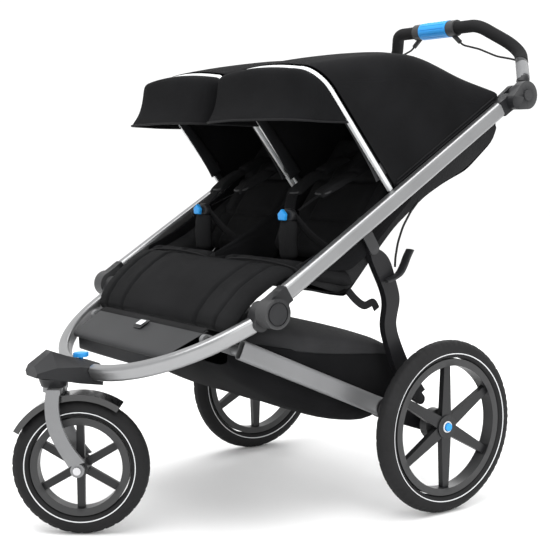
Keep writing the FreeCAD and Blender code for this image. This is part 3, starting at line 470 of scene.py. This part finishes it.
def band(name, sign, steps, insets, mat, lift=0.0):
    """A strip round the bow: steps are forward of its plane, insets inward of its outline."""
    loops = []
    corners = ((steps[0], insets[0]), (steps[1], insets[0]), (steps[1], insets[1]), (steps[0], insets[1]))
    for f, inset in corners:
        base, top = (-130 - 0.774 * f, 754 - 0.633 * f + lift), (-346 - 0.774 * f, 1018 - 0.633 * f)
        rise = Vector((0, top[0] - base[0], top[1] - base[1])).normalized()
        top = (top[0] - rise.y * inset, top[1] - rise.z * inset)
        loops.append([Vector((sign * p.x, p.y, p.z)) for p in arch_points(base, top, 8 + inset, 345 - inset)])
    verts = [p for group in zip(*loops) for p in group]
    count = len(loops[0])
    faces = grid_faces(count, 4, True) + [(3, 2, 1, 0), tuple(range(4 * count - 4, 4 * count))]
    return bake(piece(name, verts, faces, mat), ("BEVEL", {"width": 0.0012, "segments": 2}))


def bow(side):
    """The bow as it is seen: a pale trim on a dark inner hoop, with a tapered hinge arm at each foot."""
    sign = 1 if side == "left" else -1
    trim = band("bow_trim_" + side, sign, (4.5, 13.6), (-0.8, 4.6), "silver_trim", -6.0)
    hoop = band("bow_hoop_" + side, sign, (0.5, 12.6), (4.8, 9.0), "charcoal_plastic")
    cap = band("bow_cap_" + side, sign, (12.7, 14.0), (-0.8, 9.2), "silver_trim", -6.0)
    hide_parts("canopy_bow_" + side)
    for o in (trim, hoop, cap):
        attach(o, "canopy_" + side)
    for x, tag in ((16.5, "in"), (333.0, "out")):
        line = [P(sign * x, -156, 771), P(sign * x, -176, 799), P(sign * x, -214, 848),
                P(sign * x, -262, 906), P(sign * x, -300, 952)]
        arm = tube("bow_arm_%s_%s" % (side, tag), line, 19.0, "charcoal_plastic", 20,
                   lambda t: 1.0 - 0.55 * t, 0.13, Vector((1, 0, 0)))
        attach(arm, "canopy_" + side)
    for x in (5.2, 340.0):
        pin = [P(sign * (x - 1.6), -160, 790), P(sign * (x + 1.6), -160, 790)]
        disc = tube("hinge_disc_%s_%d" % (side, int(x)), pin, 15.0, "charcoal_plastic", 28, fine=1,
                    up=Vector((0, 0, 1)))
        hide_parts("canopy_plates")
        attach(disc, "upper_frame")


for side in ("left", "right"):
    canopy(side)
    visor(side)
    bow(side)
    sign = 1 if side == "left" else -1
    for lift, radius in ((4.0, 2.2), (13.0, 1.8)):
        hem = [P(sign * (343.0 + 0.15 * lift), y, tube_top(y) + lift) for y in range(-122, 180, 30)]
        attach(tube("canopy_hem_%s_%d" % (side, int(lift)), hem, radius, "webbing", 8), "upper_frame")


# ---------------------------------------------------------------- seats
def pad_grid(name, place, nu, nv, thick, mat, channels, puff=1.0, edge=0.12):
    """A stuffed pad: place(u, v) gives (point, normal); channels are (axis, share, width) stitched lines."""
    top, under = [], []
    for i in range(nv):
        v = i / (nv - 1)
        row_t, row_u = [], []
        for k in range(nu):
            u = k / (nu - 1)
            p, n = place(u, v)
            rim = min(1.0, min(u, 1 - u) / edge, min(v, 1 - v) / edge)
            swell = math.sqrt(max(0.0, 1 - (1 - rim) ** 2))
            dent = 0.0
            for which, at, width in channels:
                s = (u if which == "u" else v) - at
                dent = max(dent, math.exp(-(s / width) ** 2))
            height = thick * (0.12 + 0.88 * swell) * (1 - 0.62 * dent * puff)
            row_t.append(p + n * (height / MM + crease(p, 22.0, 1.4) * swell))
            row_u.append(p - n * (thick * 0.14 * swell / MM))
        top.append(row_t)
        under.append(row_u)
    verts = [p for r in top for p in r] + [p for r in under for p in r]
    size = nu * nv
    faces = grid_faces(nv, nu)
    faces += [tuple(size + q for q in f)[::-1] for f in grid_faces(nv, nu)]
    for i in range(nv - 1):
        for k in (0, nu - 1):
            a, b = i * nu + k, (i + 1) * nu + k
            faces.append((a, b, size + b, size + a))
    for k in range(nu - 1):
        for i in (0, nv - 1):
            a, b = i * nu + k, i * nu + k + 1
            faces.append((a, b, size + b, size + a))
    return bake(piece(name, verts, faces, mat), ("SUBSURF", {"levels": 1, "render_levels": 1}))


def swell_by_cloth(obj, pressure, cap, frames=14):
    """Blow the pad up a little by cloth simulation, and cap how far a point moves."""
    start = [v.co.copy() for v in obj.data.vertices]
    mod = obj.modifiers.new("Cloth", "CLOTH")
    mod.settings.use_pressure = True
    mod.settings.uniform_pressure_force = pressure
    mod.settings.mass = 0.3
    mod.settings.tension_stiffness = 20.0
    mod.settings.compression_stiffness = 20.0
    mod.settings.bending_stiffness = 0.6
    mod.settings.effector_weights.gravity = 0.0
    mod.point_cache.frame_start = 1
    mod.point_cache.frame_end = frames
    scene = bpy.context.scene
    for f in range(1, frames + 1):
        scene.frame_set(f)
    graph = bpy.context.evaluated_depsgraph_get()
    mesh = bpy.data.meshes.new_from_object(obj.evaluated_get(graph))
    obj.modifiers.clear()
    for v, old in zip(mesh.vertices, start):
        move = v.co - old
        if move.length > cap / MM:
            v.co = old + move.normalized() * (cap / MM)
    obj.data = mesh
    for poly in mesh.polygons:
        poly.use_smooth = True
    scene.frame_set(1)
    return obj


BACK_SLOPE = math.radians(55.0)


def seat_back(side):
    sign = 1 if side == "left" else -1
    c, s = math.cos(BACK_SLOPE), math.sin(BACK_SLOPE)

    def place(u, v):
        x = lerp(16.0, 303.0, u)
        d = lerp(4.0, 344.0, v)
        hollow = 8.0 * (1 - (2 * u - 1) ** 2)
        y, z = -205 + c * d + s * hollow * 0.6, 575 + s * d - c * hollow * 0.6
        return P(sign * x, y, z), Vector((0, -s, c))

    obj = pad_grid("seat_back_pad_" + side, place, 41, 47, 20.0, "pad_fabric",
                   [("u", 0.18, 0.018), ("u", 0.82, 0.018), ("v", 0.30, 0.014), ("v", 0.62, 0.014)],
                   1.0, 0.07)
    swell_by_cloth(obj, 3.0, 4.0)
    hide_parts("seat_back_" + side)
    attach(obj, "seat_back_" + side)


SEAT_TOP = [(-232, 556), (-262, 567), (-310, 577), (-352, 584), (-374, 582)]
REST_LINE = [(-374, 582), (-404, 580), (-442, 561), (-478, 537), (-508, 509), (-531, 480), (-541, 451)]


def seat_cushion(side):
    sign = 1 if side == "left" else -1

    def place(u, v):
        x = lerp(9.0, 330.0, u)
        y, z = along_line(SEAT_TOP, v)
        return P(sign * x, y, z - 22), Vector((0, 0.12, 1)).normalized()

    obj = pad_grid("seat_cushion_" + side, place, 45, 25, 26.0, "pad_fabric",
                   [("u", 0.14, 0.016), ("u", 0.86, 0.016), ("u", 0.5, 0.012)], 1.0, 0.09)
    swell_by_cloth(obj, 3.0, 4.0)
    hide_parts("seat_base_" + side)
    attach(obj, "upper_frame")
    hump = [P(sign * lerp(12, 328, k / 16), -375 - 5 * math.sin(math.pi * k / 16),
              570 + 19 * math.sin(math.pi * k / 16) ** 0.5) for k in range(17)]
    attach(tube("seat_piping_" + side, hump, 2.6, "webbing", 8, fine=3), "upper_frame")
    sling = []
    for i in range(9):
        y, z = along_line([(-377, 572), (-371, 540), (-300, 525), (-250, 518), (-240, 528)], i / 8)
        sling.append([P(sign * lerp(9, 330, k / 10), y, z - 4 * math.sin(math.pi * k / 10))
                      for k in range(11)])
    under = sheet("seat_sling_" + side, sling, "black_fabric", 2.0, 1)
    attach(under, "upper_frame")


def leg_rest():
    """The shaped calf rest below the seats, quilted in channels that follow each seat."""
    def place(u, v):
        half = lerp(311.0, 290.0, v)
        x = lerp(-half, half, u)
        y, z = along_line(REST_LINE, v)
        y2, z2 = along_line(REST_LINE, min(1.0, v + 0.03))
        y1, z1 = along_line(REST_LINE, max(0.0, v - 0.03))
        n = Vector((0, z2 - z1, -(y2 - y1))).normalized()
        return P(x, y, z) - n * 0.019, n

    lines = [("u", at, 0.006) for at in (0.092, 0.22, 0.78, 0.908)]
    obj = pad_grid("leg_rest", place, 121, 41, 20.0, "pad_fabric", lines, 1.0, 0.05)
    swell_by_cloth(obj, 2.0, 3.0)
    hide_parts("leg_rest_pad")
    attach(obj, "upper_frame")


def crotch(side):
    sign = 1 if side == "left" else -1
    x0 = sign * BUCKLE_X

    strap = [P(x0, -290, 566), P(x0, -294, 580), P(x0, -296, 596)]
    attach(tube("crotch_strap_" + side, strap, 13.0, "webbing", 10, flat=0.12, up=Vector((0, 1, 0))),
            "upper_frame")

    def swell(t):
        narrowing = 1.0 - 0.16 * max(0.0, t - 0.75) / 0.25
        return min(1.0, 0.55 + 3.2 * t) * narrowing * (0.8 if t > 0.985 else 1.0)

    line = [P(x0, -295, 584), P(x0, -296, 604), P(x0, -297, 630), P(x0, -296, 656), P(x0, -295, 673)]
    pad = tube("crotch_pad_" + side, line, 28.0, "pad_fabric", 28, swell, 0.6, Vector((0, 1, 0)))
    bake(pad, ("SUBSURF", {"levels": 1, "render_levels": 1}))
    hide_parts("crotch_pads")
    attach(pad, "upper_frame")
    verts, faces = [], []
    outline = [(-22, 668), (-24, 688), (-15, 701), (15, 701), (24, 688), (22, 668)]
    for y in (-304.5, -301.0, -289.0, -285.5):
        grow = 0.86 if y in (-304.5, -285.5) else 1.0
        verts += [P(x0 + a * grow, y, 685 + (z - 685) * grow) for a, z in outline]
    n = len(outline)
    faces = grid_faces(4, n, True) + [tuple(range(n)), tuple(range(3 * n, 4 * n))]
    clip = bake(piece("buckle_" + side, verts, faces, "charcoal_plastic"), ("SUBSURF", {"levels": 2}))
    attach(clip, "upper_frame")
    shape = [(-11, -11), (11, -11), (13.5, 3), (0, 14), (-13.5, 3)]
    verts = []
    for y, grow in ((-309.0, 1.0), (-317.0, 1.0), (-319.0, 0.82)):
        verts += [P(x0 + a * grow, y, 685 + b * grow) for a, b in shape]
    faces = grid_faces(3, 5, True) + [tuple(range(5)), tuple(range(10, 15))]
    button = bake(piece("release_button_" + side, verts, faces, "blue_plastic"),
                  ("BEVEL", {"width": 0.0012, "segments": 3}))
    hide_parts("buckle_button_" + side)
    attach(button, "buckle_" + side)


def harness(side):
    """Shoulder straps with their pads, from the seat back down to the buckle."""
    sign = 1 if side == "left" else -1
    for which, dx in (("in", -52.0), ("out", 52.0)):
        line = [P(sign * (HARNESS_X + dx * 0.95), -40, 838), P(sign * (HARNESS_X + dx), -75, 812),
                P(sign * (HARNESS_X + dx * 1.15), -120, 790), P(sign * (HARNESS_X + dx * 1.18), -178, 760),
                P(sign * (HARNESS_X + dx * 0.9), -238, 728), P(sign * (BUCKLE_X + dx * 0.32), -281, 696)]
        strap = tube("shoulder_strap_%s_%s" % (side, which), line, 12.5, "webbing", 10, flat=0.09)
        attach(strap, "upper_frame")
        path = spline(line[1:5], 8)

        def place(u, v, path=path):
            i = min(len(path) - 1, int(v * (len(path) - 1)))
            j = min(len(path) - 1, i + 1)
            p = path[i].lerp(path[j], v * (len(path) - 1) - i)
            ahead = (path[j] - path[max(0, j - 1)]).normalized()
            n = Vector((1, 0, 0)).cross(ahead).normalized()
            n = n if n.z > 0 else -n
            wide = n.cross(ahead).normalized()
            return p + wide * (lerp(-24, 24, u) / MM) - n * 0.002, n

        pad = pad_grid("shoulder_pad_%s_%s" % (side, which), place, 15, 39, 13.0, "pad_fabric",
                       [("v", 0.5, 0.02)], 0.8, 0.22)
        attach(pad, "upper_frame")
        slide = P(sign * (HARNESS_X + dx * 1.0), -215, 742)
        ring = tube("strap_adjuster_%s_%s" % (side, which),
                    [slide + Vector((a / MM, b / MM, c / MM))
                     for a, b, c in ((-17, 0, 0), (-17, -20, -9), (17, -20, -9), (17, 0, 0), (-17, 0, 0))],
                    2.6, "charcoal_plastic", 8, fine=3)
        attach(ring, "upper_frame")
        lap = [P(sign * (BUCKLE_X + dx * 0.34), -291, 682), P(sign * (BUCKLE_X + dx * 1.1), -272, 640),
               P(sign * (BUCKLE_X + dx * 2.0), -250, 606), P(sign * (BUCKLE_X + dx * 2.45), -222, 590)]
        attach(tube("lap_strap_%s_%s" % (side, which), lap, 12.5, "webbing", 10, flat=0.09,
                     up=Vector((0, 1, 0.4))), "upper_frame")


for side in ("left", "right"):
    seat_back(side)
    seat_cushion(side)
    crotch(side)
    harness(side)
leg_rest()


# ---------------------------------------------------------------- side and rear fabric
TUBE_LINE = [(-380, 560), (-252, 643), (-160, 700), (-96, 740), (30, 820), (168, 906), (204, 926)]
HEM_LINE = [(-378, 556), (-300, 530), (-242, 511), (-160, 593), (-96, 658), (-5, 727), (61, 760), (127, 788),
            (168, 821), (214, 856), (229, 886)]


def side_panel(sign, name):
    rows = []
    for i in range(25):
        t = i / 24
        y0, z0 = along_line(TUBE_LINE, t)
        y1, z1 = along_line(HEM_LINE, t)
        rows.append([P(sign * (lerp(336, 310, min(1, k / 3)) - 5 * math.sin(math.pi * k / 8)),
                       lerp(y0, y1, k / 8), lerp(z0, z1, k / 8)) for k in range(9)])
    obj = sheet(name, rows, "mesh_fabric", 1.6, 1)
    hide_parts("side_panels")
    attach(obj, "upper_frame")
    wing = []
    for i in range(17):
        t = i / 16
        low = along_line([(-372, 574), (-300, 572), (-240, 566), (-190, 600), (-60, 720)], t)
        high = along_line([(-374, 588), (-300, 622), (-232, 664), (-150, 718), (-40, 800)], t)
        wing.append([P(sign * (326 - 6 * k / 6), lerp(low[0], high[0], k / 6), lerp(low[1], high[1], k / 6))
                     for k in range(7)])
    side_wing = sheet(name + "_wing", wing, "black_fabric", 3.0, 1)
    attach(side_wing, "upper_frame")


side_panel(1, "side_mesh_left")
side_panel(-1, "side_mesh_right")


def divider():
    low = [(-374, 566), (-290, 552), (-236, 540), (-96, 668), (90, 812)]
    high = [(-378, 594), (-320, 622), (-269, 650), (-174, 702), (-120, 742), (90, 852)]

    def place(u, v):
        a, b = along_line(low, u), along_line(high, u)
        return P(-3.0, lerp(a[0], b[0], v), lerp(a[1], b[1], v)), Vector((1, 0, 0))

    obj = pad_grid("divider", place, 61, 15, 7.0, "black_fabric", [("v", 0.88, 0.03)], 1.0, 0.08)
    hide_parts("side_panels")
    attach(obj, "upper_frame")


divider()

PANEL_LINE = [(-238, 508), (-160, 592), (-96, 657), (-5, 724), (61, 757), (127, 785), (168, 818), (214, 853),
              (230, 884), (216, 922)]


def rear_panel():
    rows = []
    for i in range(25):
        y, z = along_line(PANEL_LINE, i / 24)
        row = []
        for k in range(33):
            u = k / 32
            x = lerp(-310, 310, u)
            belly = abs(math.sin(2 * math.pi * u)) ** 0.7
            q = P(x, y + 3 * belly, z - 7 * belly * math.sin(math.pi * i / 24))
            row.append(q + Vector((0, 0, crease(q, 9.0, 3.0))))
        rows.append(row)
    obj = sheet("rear_cover", rows, "black_fabric", 2.0, 1)
    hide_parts("rear_panel")
    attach(obj, "upper_frame")


rear_panel()


def rear_vent(sign, name):
    """The mesh vent between the top of the rear fabric and the canopy's rear edge."""
    edge = arch_points(STATIONS[-1][0], STATIONS[-1][1], 9.0, 344.0)
    foot = [P(min(p.x * MM, 308.0), 217, 911) for p in edge]
    rows = []
    for i in range(5):
        row = [q.lerp(p, i / 4) for p, q in zip(edge, foot)]
        rows.append([Vector((sign * p.x, p.y, p.z)) for p in row])
    obj = sheet(name, rows, "mesh_fabric", 1.6, 1)
    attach(obj, "upper_frame")


rear_vent(1, "rear_vent_left")
rear_vent(-1, "rear_vent_right")


# ---------------------------------------------------------------- basket and footrest
def basket():
    """The storage basket: a slack tub hung from a hem between the legs."""
    stations = [(-500, 414, 372, 232), (-482, 424, 345, 235), (-452, 419, 322, 250), (-425, 414, 306, 279),
                (-400, 409, 291, 281), (-340, 397, 260, 281), (-280, 386, 234, 281), (-220, 381, 217, 281),
                (-160, 376, 206, 281), (-110, 373, 204, 280), (-76, 368, 234, 279), (-56, 358, 285, 277),
                (-50, 350, 322, 275)]
    rows, roof = [], []
    for y, rim, floor, half in stations:
        row = []
        for k in range(41):
            u = -1 + 2 * k / 40
            a = abs(u)
            wall = max(0.0, (a - 0.62) / 0.38)
            depth = (1 - wall ** 2.2) * (rim - floor)
            x = half * math.copysign(min(1.0, a / 0.80) ** 0.9, u)
            q = P(x, y, rim - depth)
            row.append(q + Vector((0, 0, crease(q, 12.0, 3.5) * (1 - wall))))
        rows.append(row)
    for y, top in ((-502, 418), (-492, 436), (-470, 446), (-440, 457), (-375, 465), (-300, 455), (-234, 441),
                   (-170, 426), (-118, 412), (-80, 398), (-58, 366)):
        rim, half = along_stations(stations, y)
        row = []
        for k in range(29):
            a = math.pi * (k / 28 - 0.5)
            row.append(P((half + 2) * math.sin(a), y, rim - 7 + (top - rim + 7) * math.cos(a) ** 0.42))
        roof.append(row)
    obj = sheet("storage_basket", rows, "black_fabric", 2.2, 1)
    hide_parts("basket")
    lid = sheet("basket_cover", roof, "grey_fabric", 2.0, 1)
    for o in (obj, lid):
        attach(o, "rear_legs")
        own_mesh(o)


def along_stations(stations, y):
    """The rim height and half width at a place along the basket."""
    for a, b in zip(stations, stations[1:]):
        if y <= b[0]:
            t = max(0.0, (y - a[0]) / (b[0] - a[0]))
            return lerp(a[1], b[1], t), lerp(a[3], b[3], t)
    return stations[-1][1], stations[-1][3]


basket()


def footrest():
    """A smooth panel with a rolled front lip, a rubber strip along its rear, and the recessed front skirt."""
    rows = []
    for y, z, half in ((-548, 447, 234), (-545, 451, 234), (-560, 444, 231), (-600, 423, 222),
                       (-628, 408.5, 215), (-636, 403.5, 213), (-640, 398, 212), (-639.5, 392, 211)):
        rows.append([P(half * (-1 + 2 * k / 40), y, z + 1.0) for k in range(41)])
    panel = sheet("footrest_top", rows, "grey_plastic", 3.0, 1, 0.0)
    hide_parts("footrest_panel")
    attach(panel, "lower_frame")
    strip = []
    for y, z in ((-543, 449), (-541, 454), (-548, 453.5), (-556, 449.5), (-560, 446), (-558, 444)):
        strip.append([P((232 - 0.1 * abs(y + 543)) * (-1 + 2 * k / 30), y, z) for k in range(31)])
    rubber = sheet("footrest_strip", strip, "foam", 2.0, 1)
    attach(rubber, "lower_frame")
    rows = []
    for i in range(7):
        v = i / 6
        half = lerp(204, 190, v)
        rows.append([P(lerp(-half, half, k / 30), lerp(-632, -637, v) - 4 * (1 - (2 * k / 30 - 1) ** 2),
                       lerp(398, 366, v)) for k in range(31)])
    obj = sheet("footrest_front", rows, "charcoal_plastic", 4.0, 1)
    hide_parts("footrest_skirt")
    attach(obj, "lower_frame")
    clip_box("footrest_clip", (-17, 17), [(-566, 446), (-590, 433.5)], 5.0, "charcoal_plastic")
    clip_box("plain_badge", (-12, 12), [(-571, 448.5), (-585, 441)], 1.6, "badge")


def clip_box(name, xs, line, thick, mat):
    """A small slab lying along a side-view line."""
    (y0, z0), (y1, z1) = line
    n = Vector((0, z0 - z1, y0 - y1)).normalized()
    n = n if n.z > 0 else -n
    verts = [P(x, y, z) for y, z in line for x in xs]
    verts += [v + n * (thick / MM) for v in verts]
    faces = [(0, 1, 3, 2), (4, 6, 7, 5), (0, 4, 5, 1), (2, 3, 7, 6), (0, 2, 6, 4), (1, 5, 7, 3)]
    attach(bake(piece(name, verts, faces, mat), ("BEVEL", {"width": 0.001, "segments": 3})), "lower_frame")


footrest()


def sleeve_skin(side):
    """The grey sleeve's outer face on each leg of the handlebar."""
    sign = 1 if side == "left" else -1
    line = []
    for k in range(12):
        d = lerp(38.0, 126.0, k / 11)
        spot = leg_of_bar(d)
        line.append(P(sign * spot[0], spot[1], spot[2]))
    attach(tube("sleeve_skin_" + side, line, 15.5, "sleeve", 24, fine=2), "handlebar")


def leg_of_bar(d):
    """A place on the handlebar's leg at a distance from its pivot."""
    a, b, c = (352.0, 257.6, 972.4), (352.0, 270.7, 997.1), (232.0, 388.0, 1085.0)
    first = math.dist(a, b) + 14.0
    if d < first:
        t = (d - 14.0) / (first - 14.0)
        spot = [lerp(p, q, t) for p, q in zip(a, b)]
    else:
        t = (d - first) / math.dist(b, c)
        spot = [lerp(p, q, t) for p, q in zip(b, c)]
    near = max(0.0, 1 - abs(d - first) / 24.0) ** 2 * 2.6
    return spot[0] - near * 0.7, spot[1] + near * 0.3, spot[2] - near * 0.2


for side in ("left", "right"):
    sleeve_skin(side)
    sign = 1 if side == "left" else -1
    ring = [P(sign * 390.6, 11.6 * math.cos(math.pi * k / 14), 200 + 11.6 * math.sin(math.pi * k / 14))
            for k in range(29)]
    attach(tube("hub_ring_" + side, ring, 1.9, "silver_trim", 10, fine=1, up=Vector((1, 0, 0))),
            "rear_wheel_" + side)

filler = [P(0, -384, 566), P(0, -376, 578), P(0, -340, 582), P(0, -300, 577), P(0, -262, 566)]
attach(tube("seat_gap_fill", filler, 10.0, "black_fabric", 12, flat=0.5), "upper_frame")
for sign, tag in ((1, "left"), (-1, "right")):
    pin = [P(sign * 237, -562, 434), P(sign * 253.5, -562, 434)]
    head = tube("pin_head_" + tag, pin, 8.5, "charcoal_plastic", 20, fine=1)
    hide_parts("leg_pins")
    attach(head, "lower_frame")

hook = [P(340, -146, 541), P(344, -131, 546), P(345, -112, 556), P(345, -99, 574), P(345, -90, 592),
        P(345, -80, 608)]
hook_piece = tube("fold_catch", hook, 13.5, "charcoal_plastic", 16, flat=0.30, up=Vector((0, 0.6, -0.8)))
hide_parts("fold_hook")
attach(hook_piece, "struts")

# ---------------------------------------------------------------- straps beside the strut
tether = [P(320, -240, 524), P(319, -214, 500), P(318, -190, 487), P(318, -166, 492), P(318, -154, 476)]
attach(tube("tether_strap", tether, 9.0, "webbing", 10, flat=0.12, up=Vector((1, 0, 0))), "upper_frame")


# ---------------------------------------------------------------- stage
def floor():
    mesh = bpy.data.meshes.new("floor")
    size = 14.0
    corners = [(-size, -size, 0), (size, -size, 0), (size, size, 0), (-size, size, 0)]
    mesh.from_pydata(corners, [], [(0, 1, 2, 3)])
    obj = bpy.data.objects.new("floor", mesh)
    bpy.context.scene.collection.objects.link(obj)
    mat = bpy.data.materials.new("floor")
    mat.use_nodes = True
    shader = mat.node_tree.nodes["Principled BSDF"]
    shader.inputs["Base Color"].default_value = (0.93, 0.93, 0.93, 1)
    shader.inputs["Roughness"].default_value = 0.75
    mesh.materials.append(mat)


floor()
world = bpy.data.worlds.new("studio")
bpy.context.scene.world = world
world.use_nodes = True
world.node_tree.nodes["Background"].inputs["Color"].default_value = (1.0, 1.0, 1.0, 1)
world.node_tree.nodes["Background"].inputs["Strength"].default_value = 1.1


def area_light(name, place, target, size, power):
    data = bpy.data.lights.new(name, "AREA")
    data.shape = "RECTANGLE"
    data.size, data.size_y = size
    data.energy = power
    obj = bpy.data.objects.new(name, data)
    obj.location = place
    obj.rotation_euler = (Vector(target) - Vector(place)).to_track_quat("-Z", "Y").to_euler()
    bpy.context.scene.collection.objects.link(obj)


area_light("overhead", (0.4, -0.6, 3.4), (0, 0, 0.4), (3.2, 3.2), 120)
area_light("side", (3.6, -0.4, 1.9), (0, 0, 0.5), (1.6, 2.4), 45)
area_light("back", (-1.8, 3.0, 2.4), (0, 0, 0.7), (2.2, 1.6), 45)

bpy.context.scene.view_settings.view_transform = "Standard"
camera_data = bpy.data.cameras.new("camera")
camera_data.sensor_width = 36.0
camera_data.lens = 77.17
camera_data.clip_end = 60.0
camera = bpy.data.objects.new("camera", camera_data)
camera.location = (2.3082, -1.6315, 0.8157)
az, el = math.radians(54.145), math.radians(5.729)
back = Vector((math.sin(az) * math.cos(el), -math.cos(az) * math.cos(el), math.sin(el)))
camera.rotation_euler = back.to_track_quat("Z", "Y").to_euler()
bpy.context.scene.collection.objects.link(camera)
bpy.context.scene.camera = camera
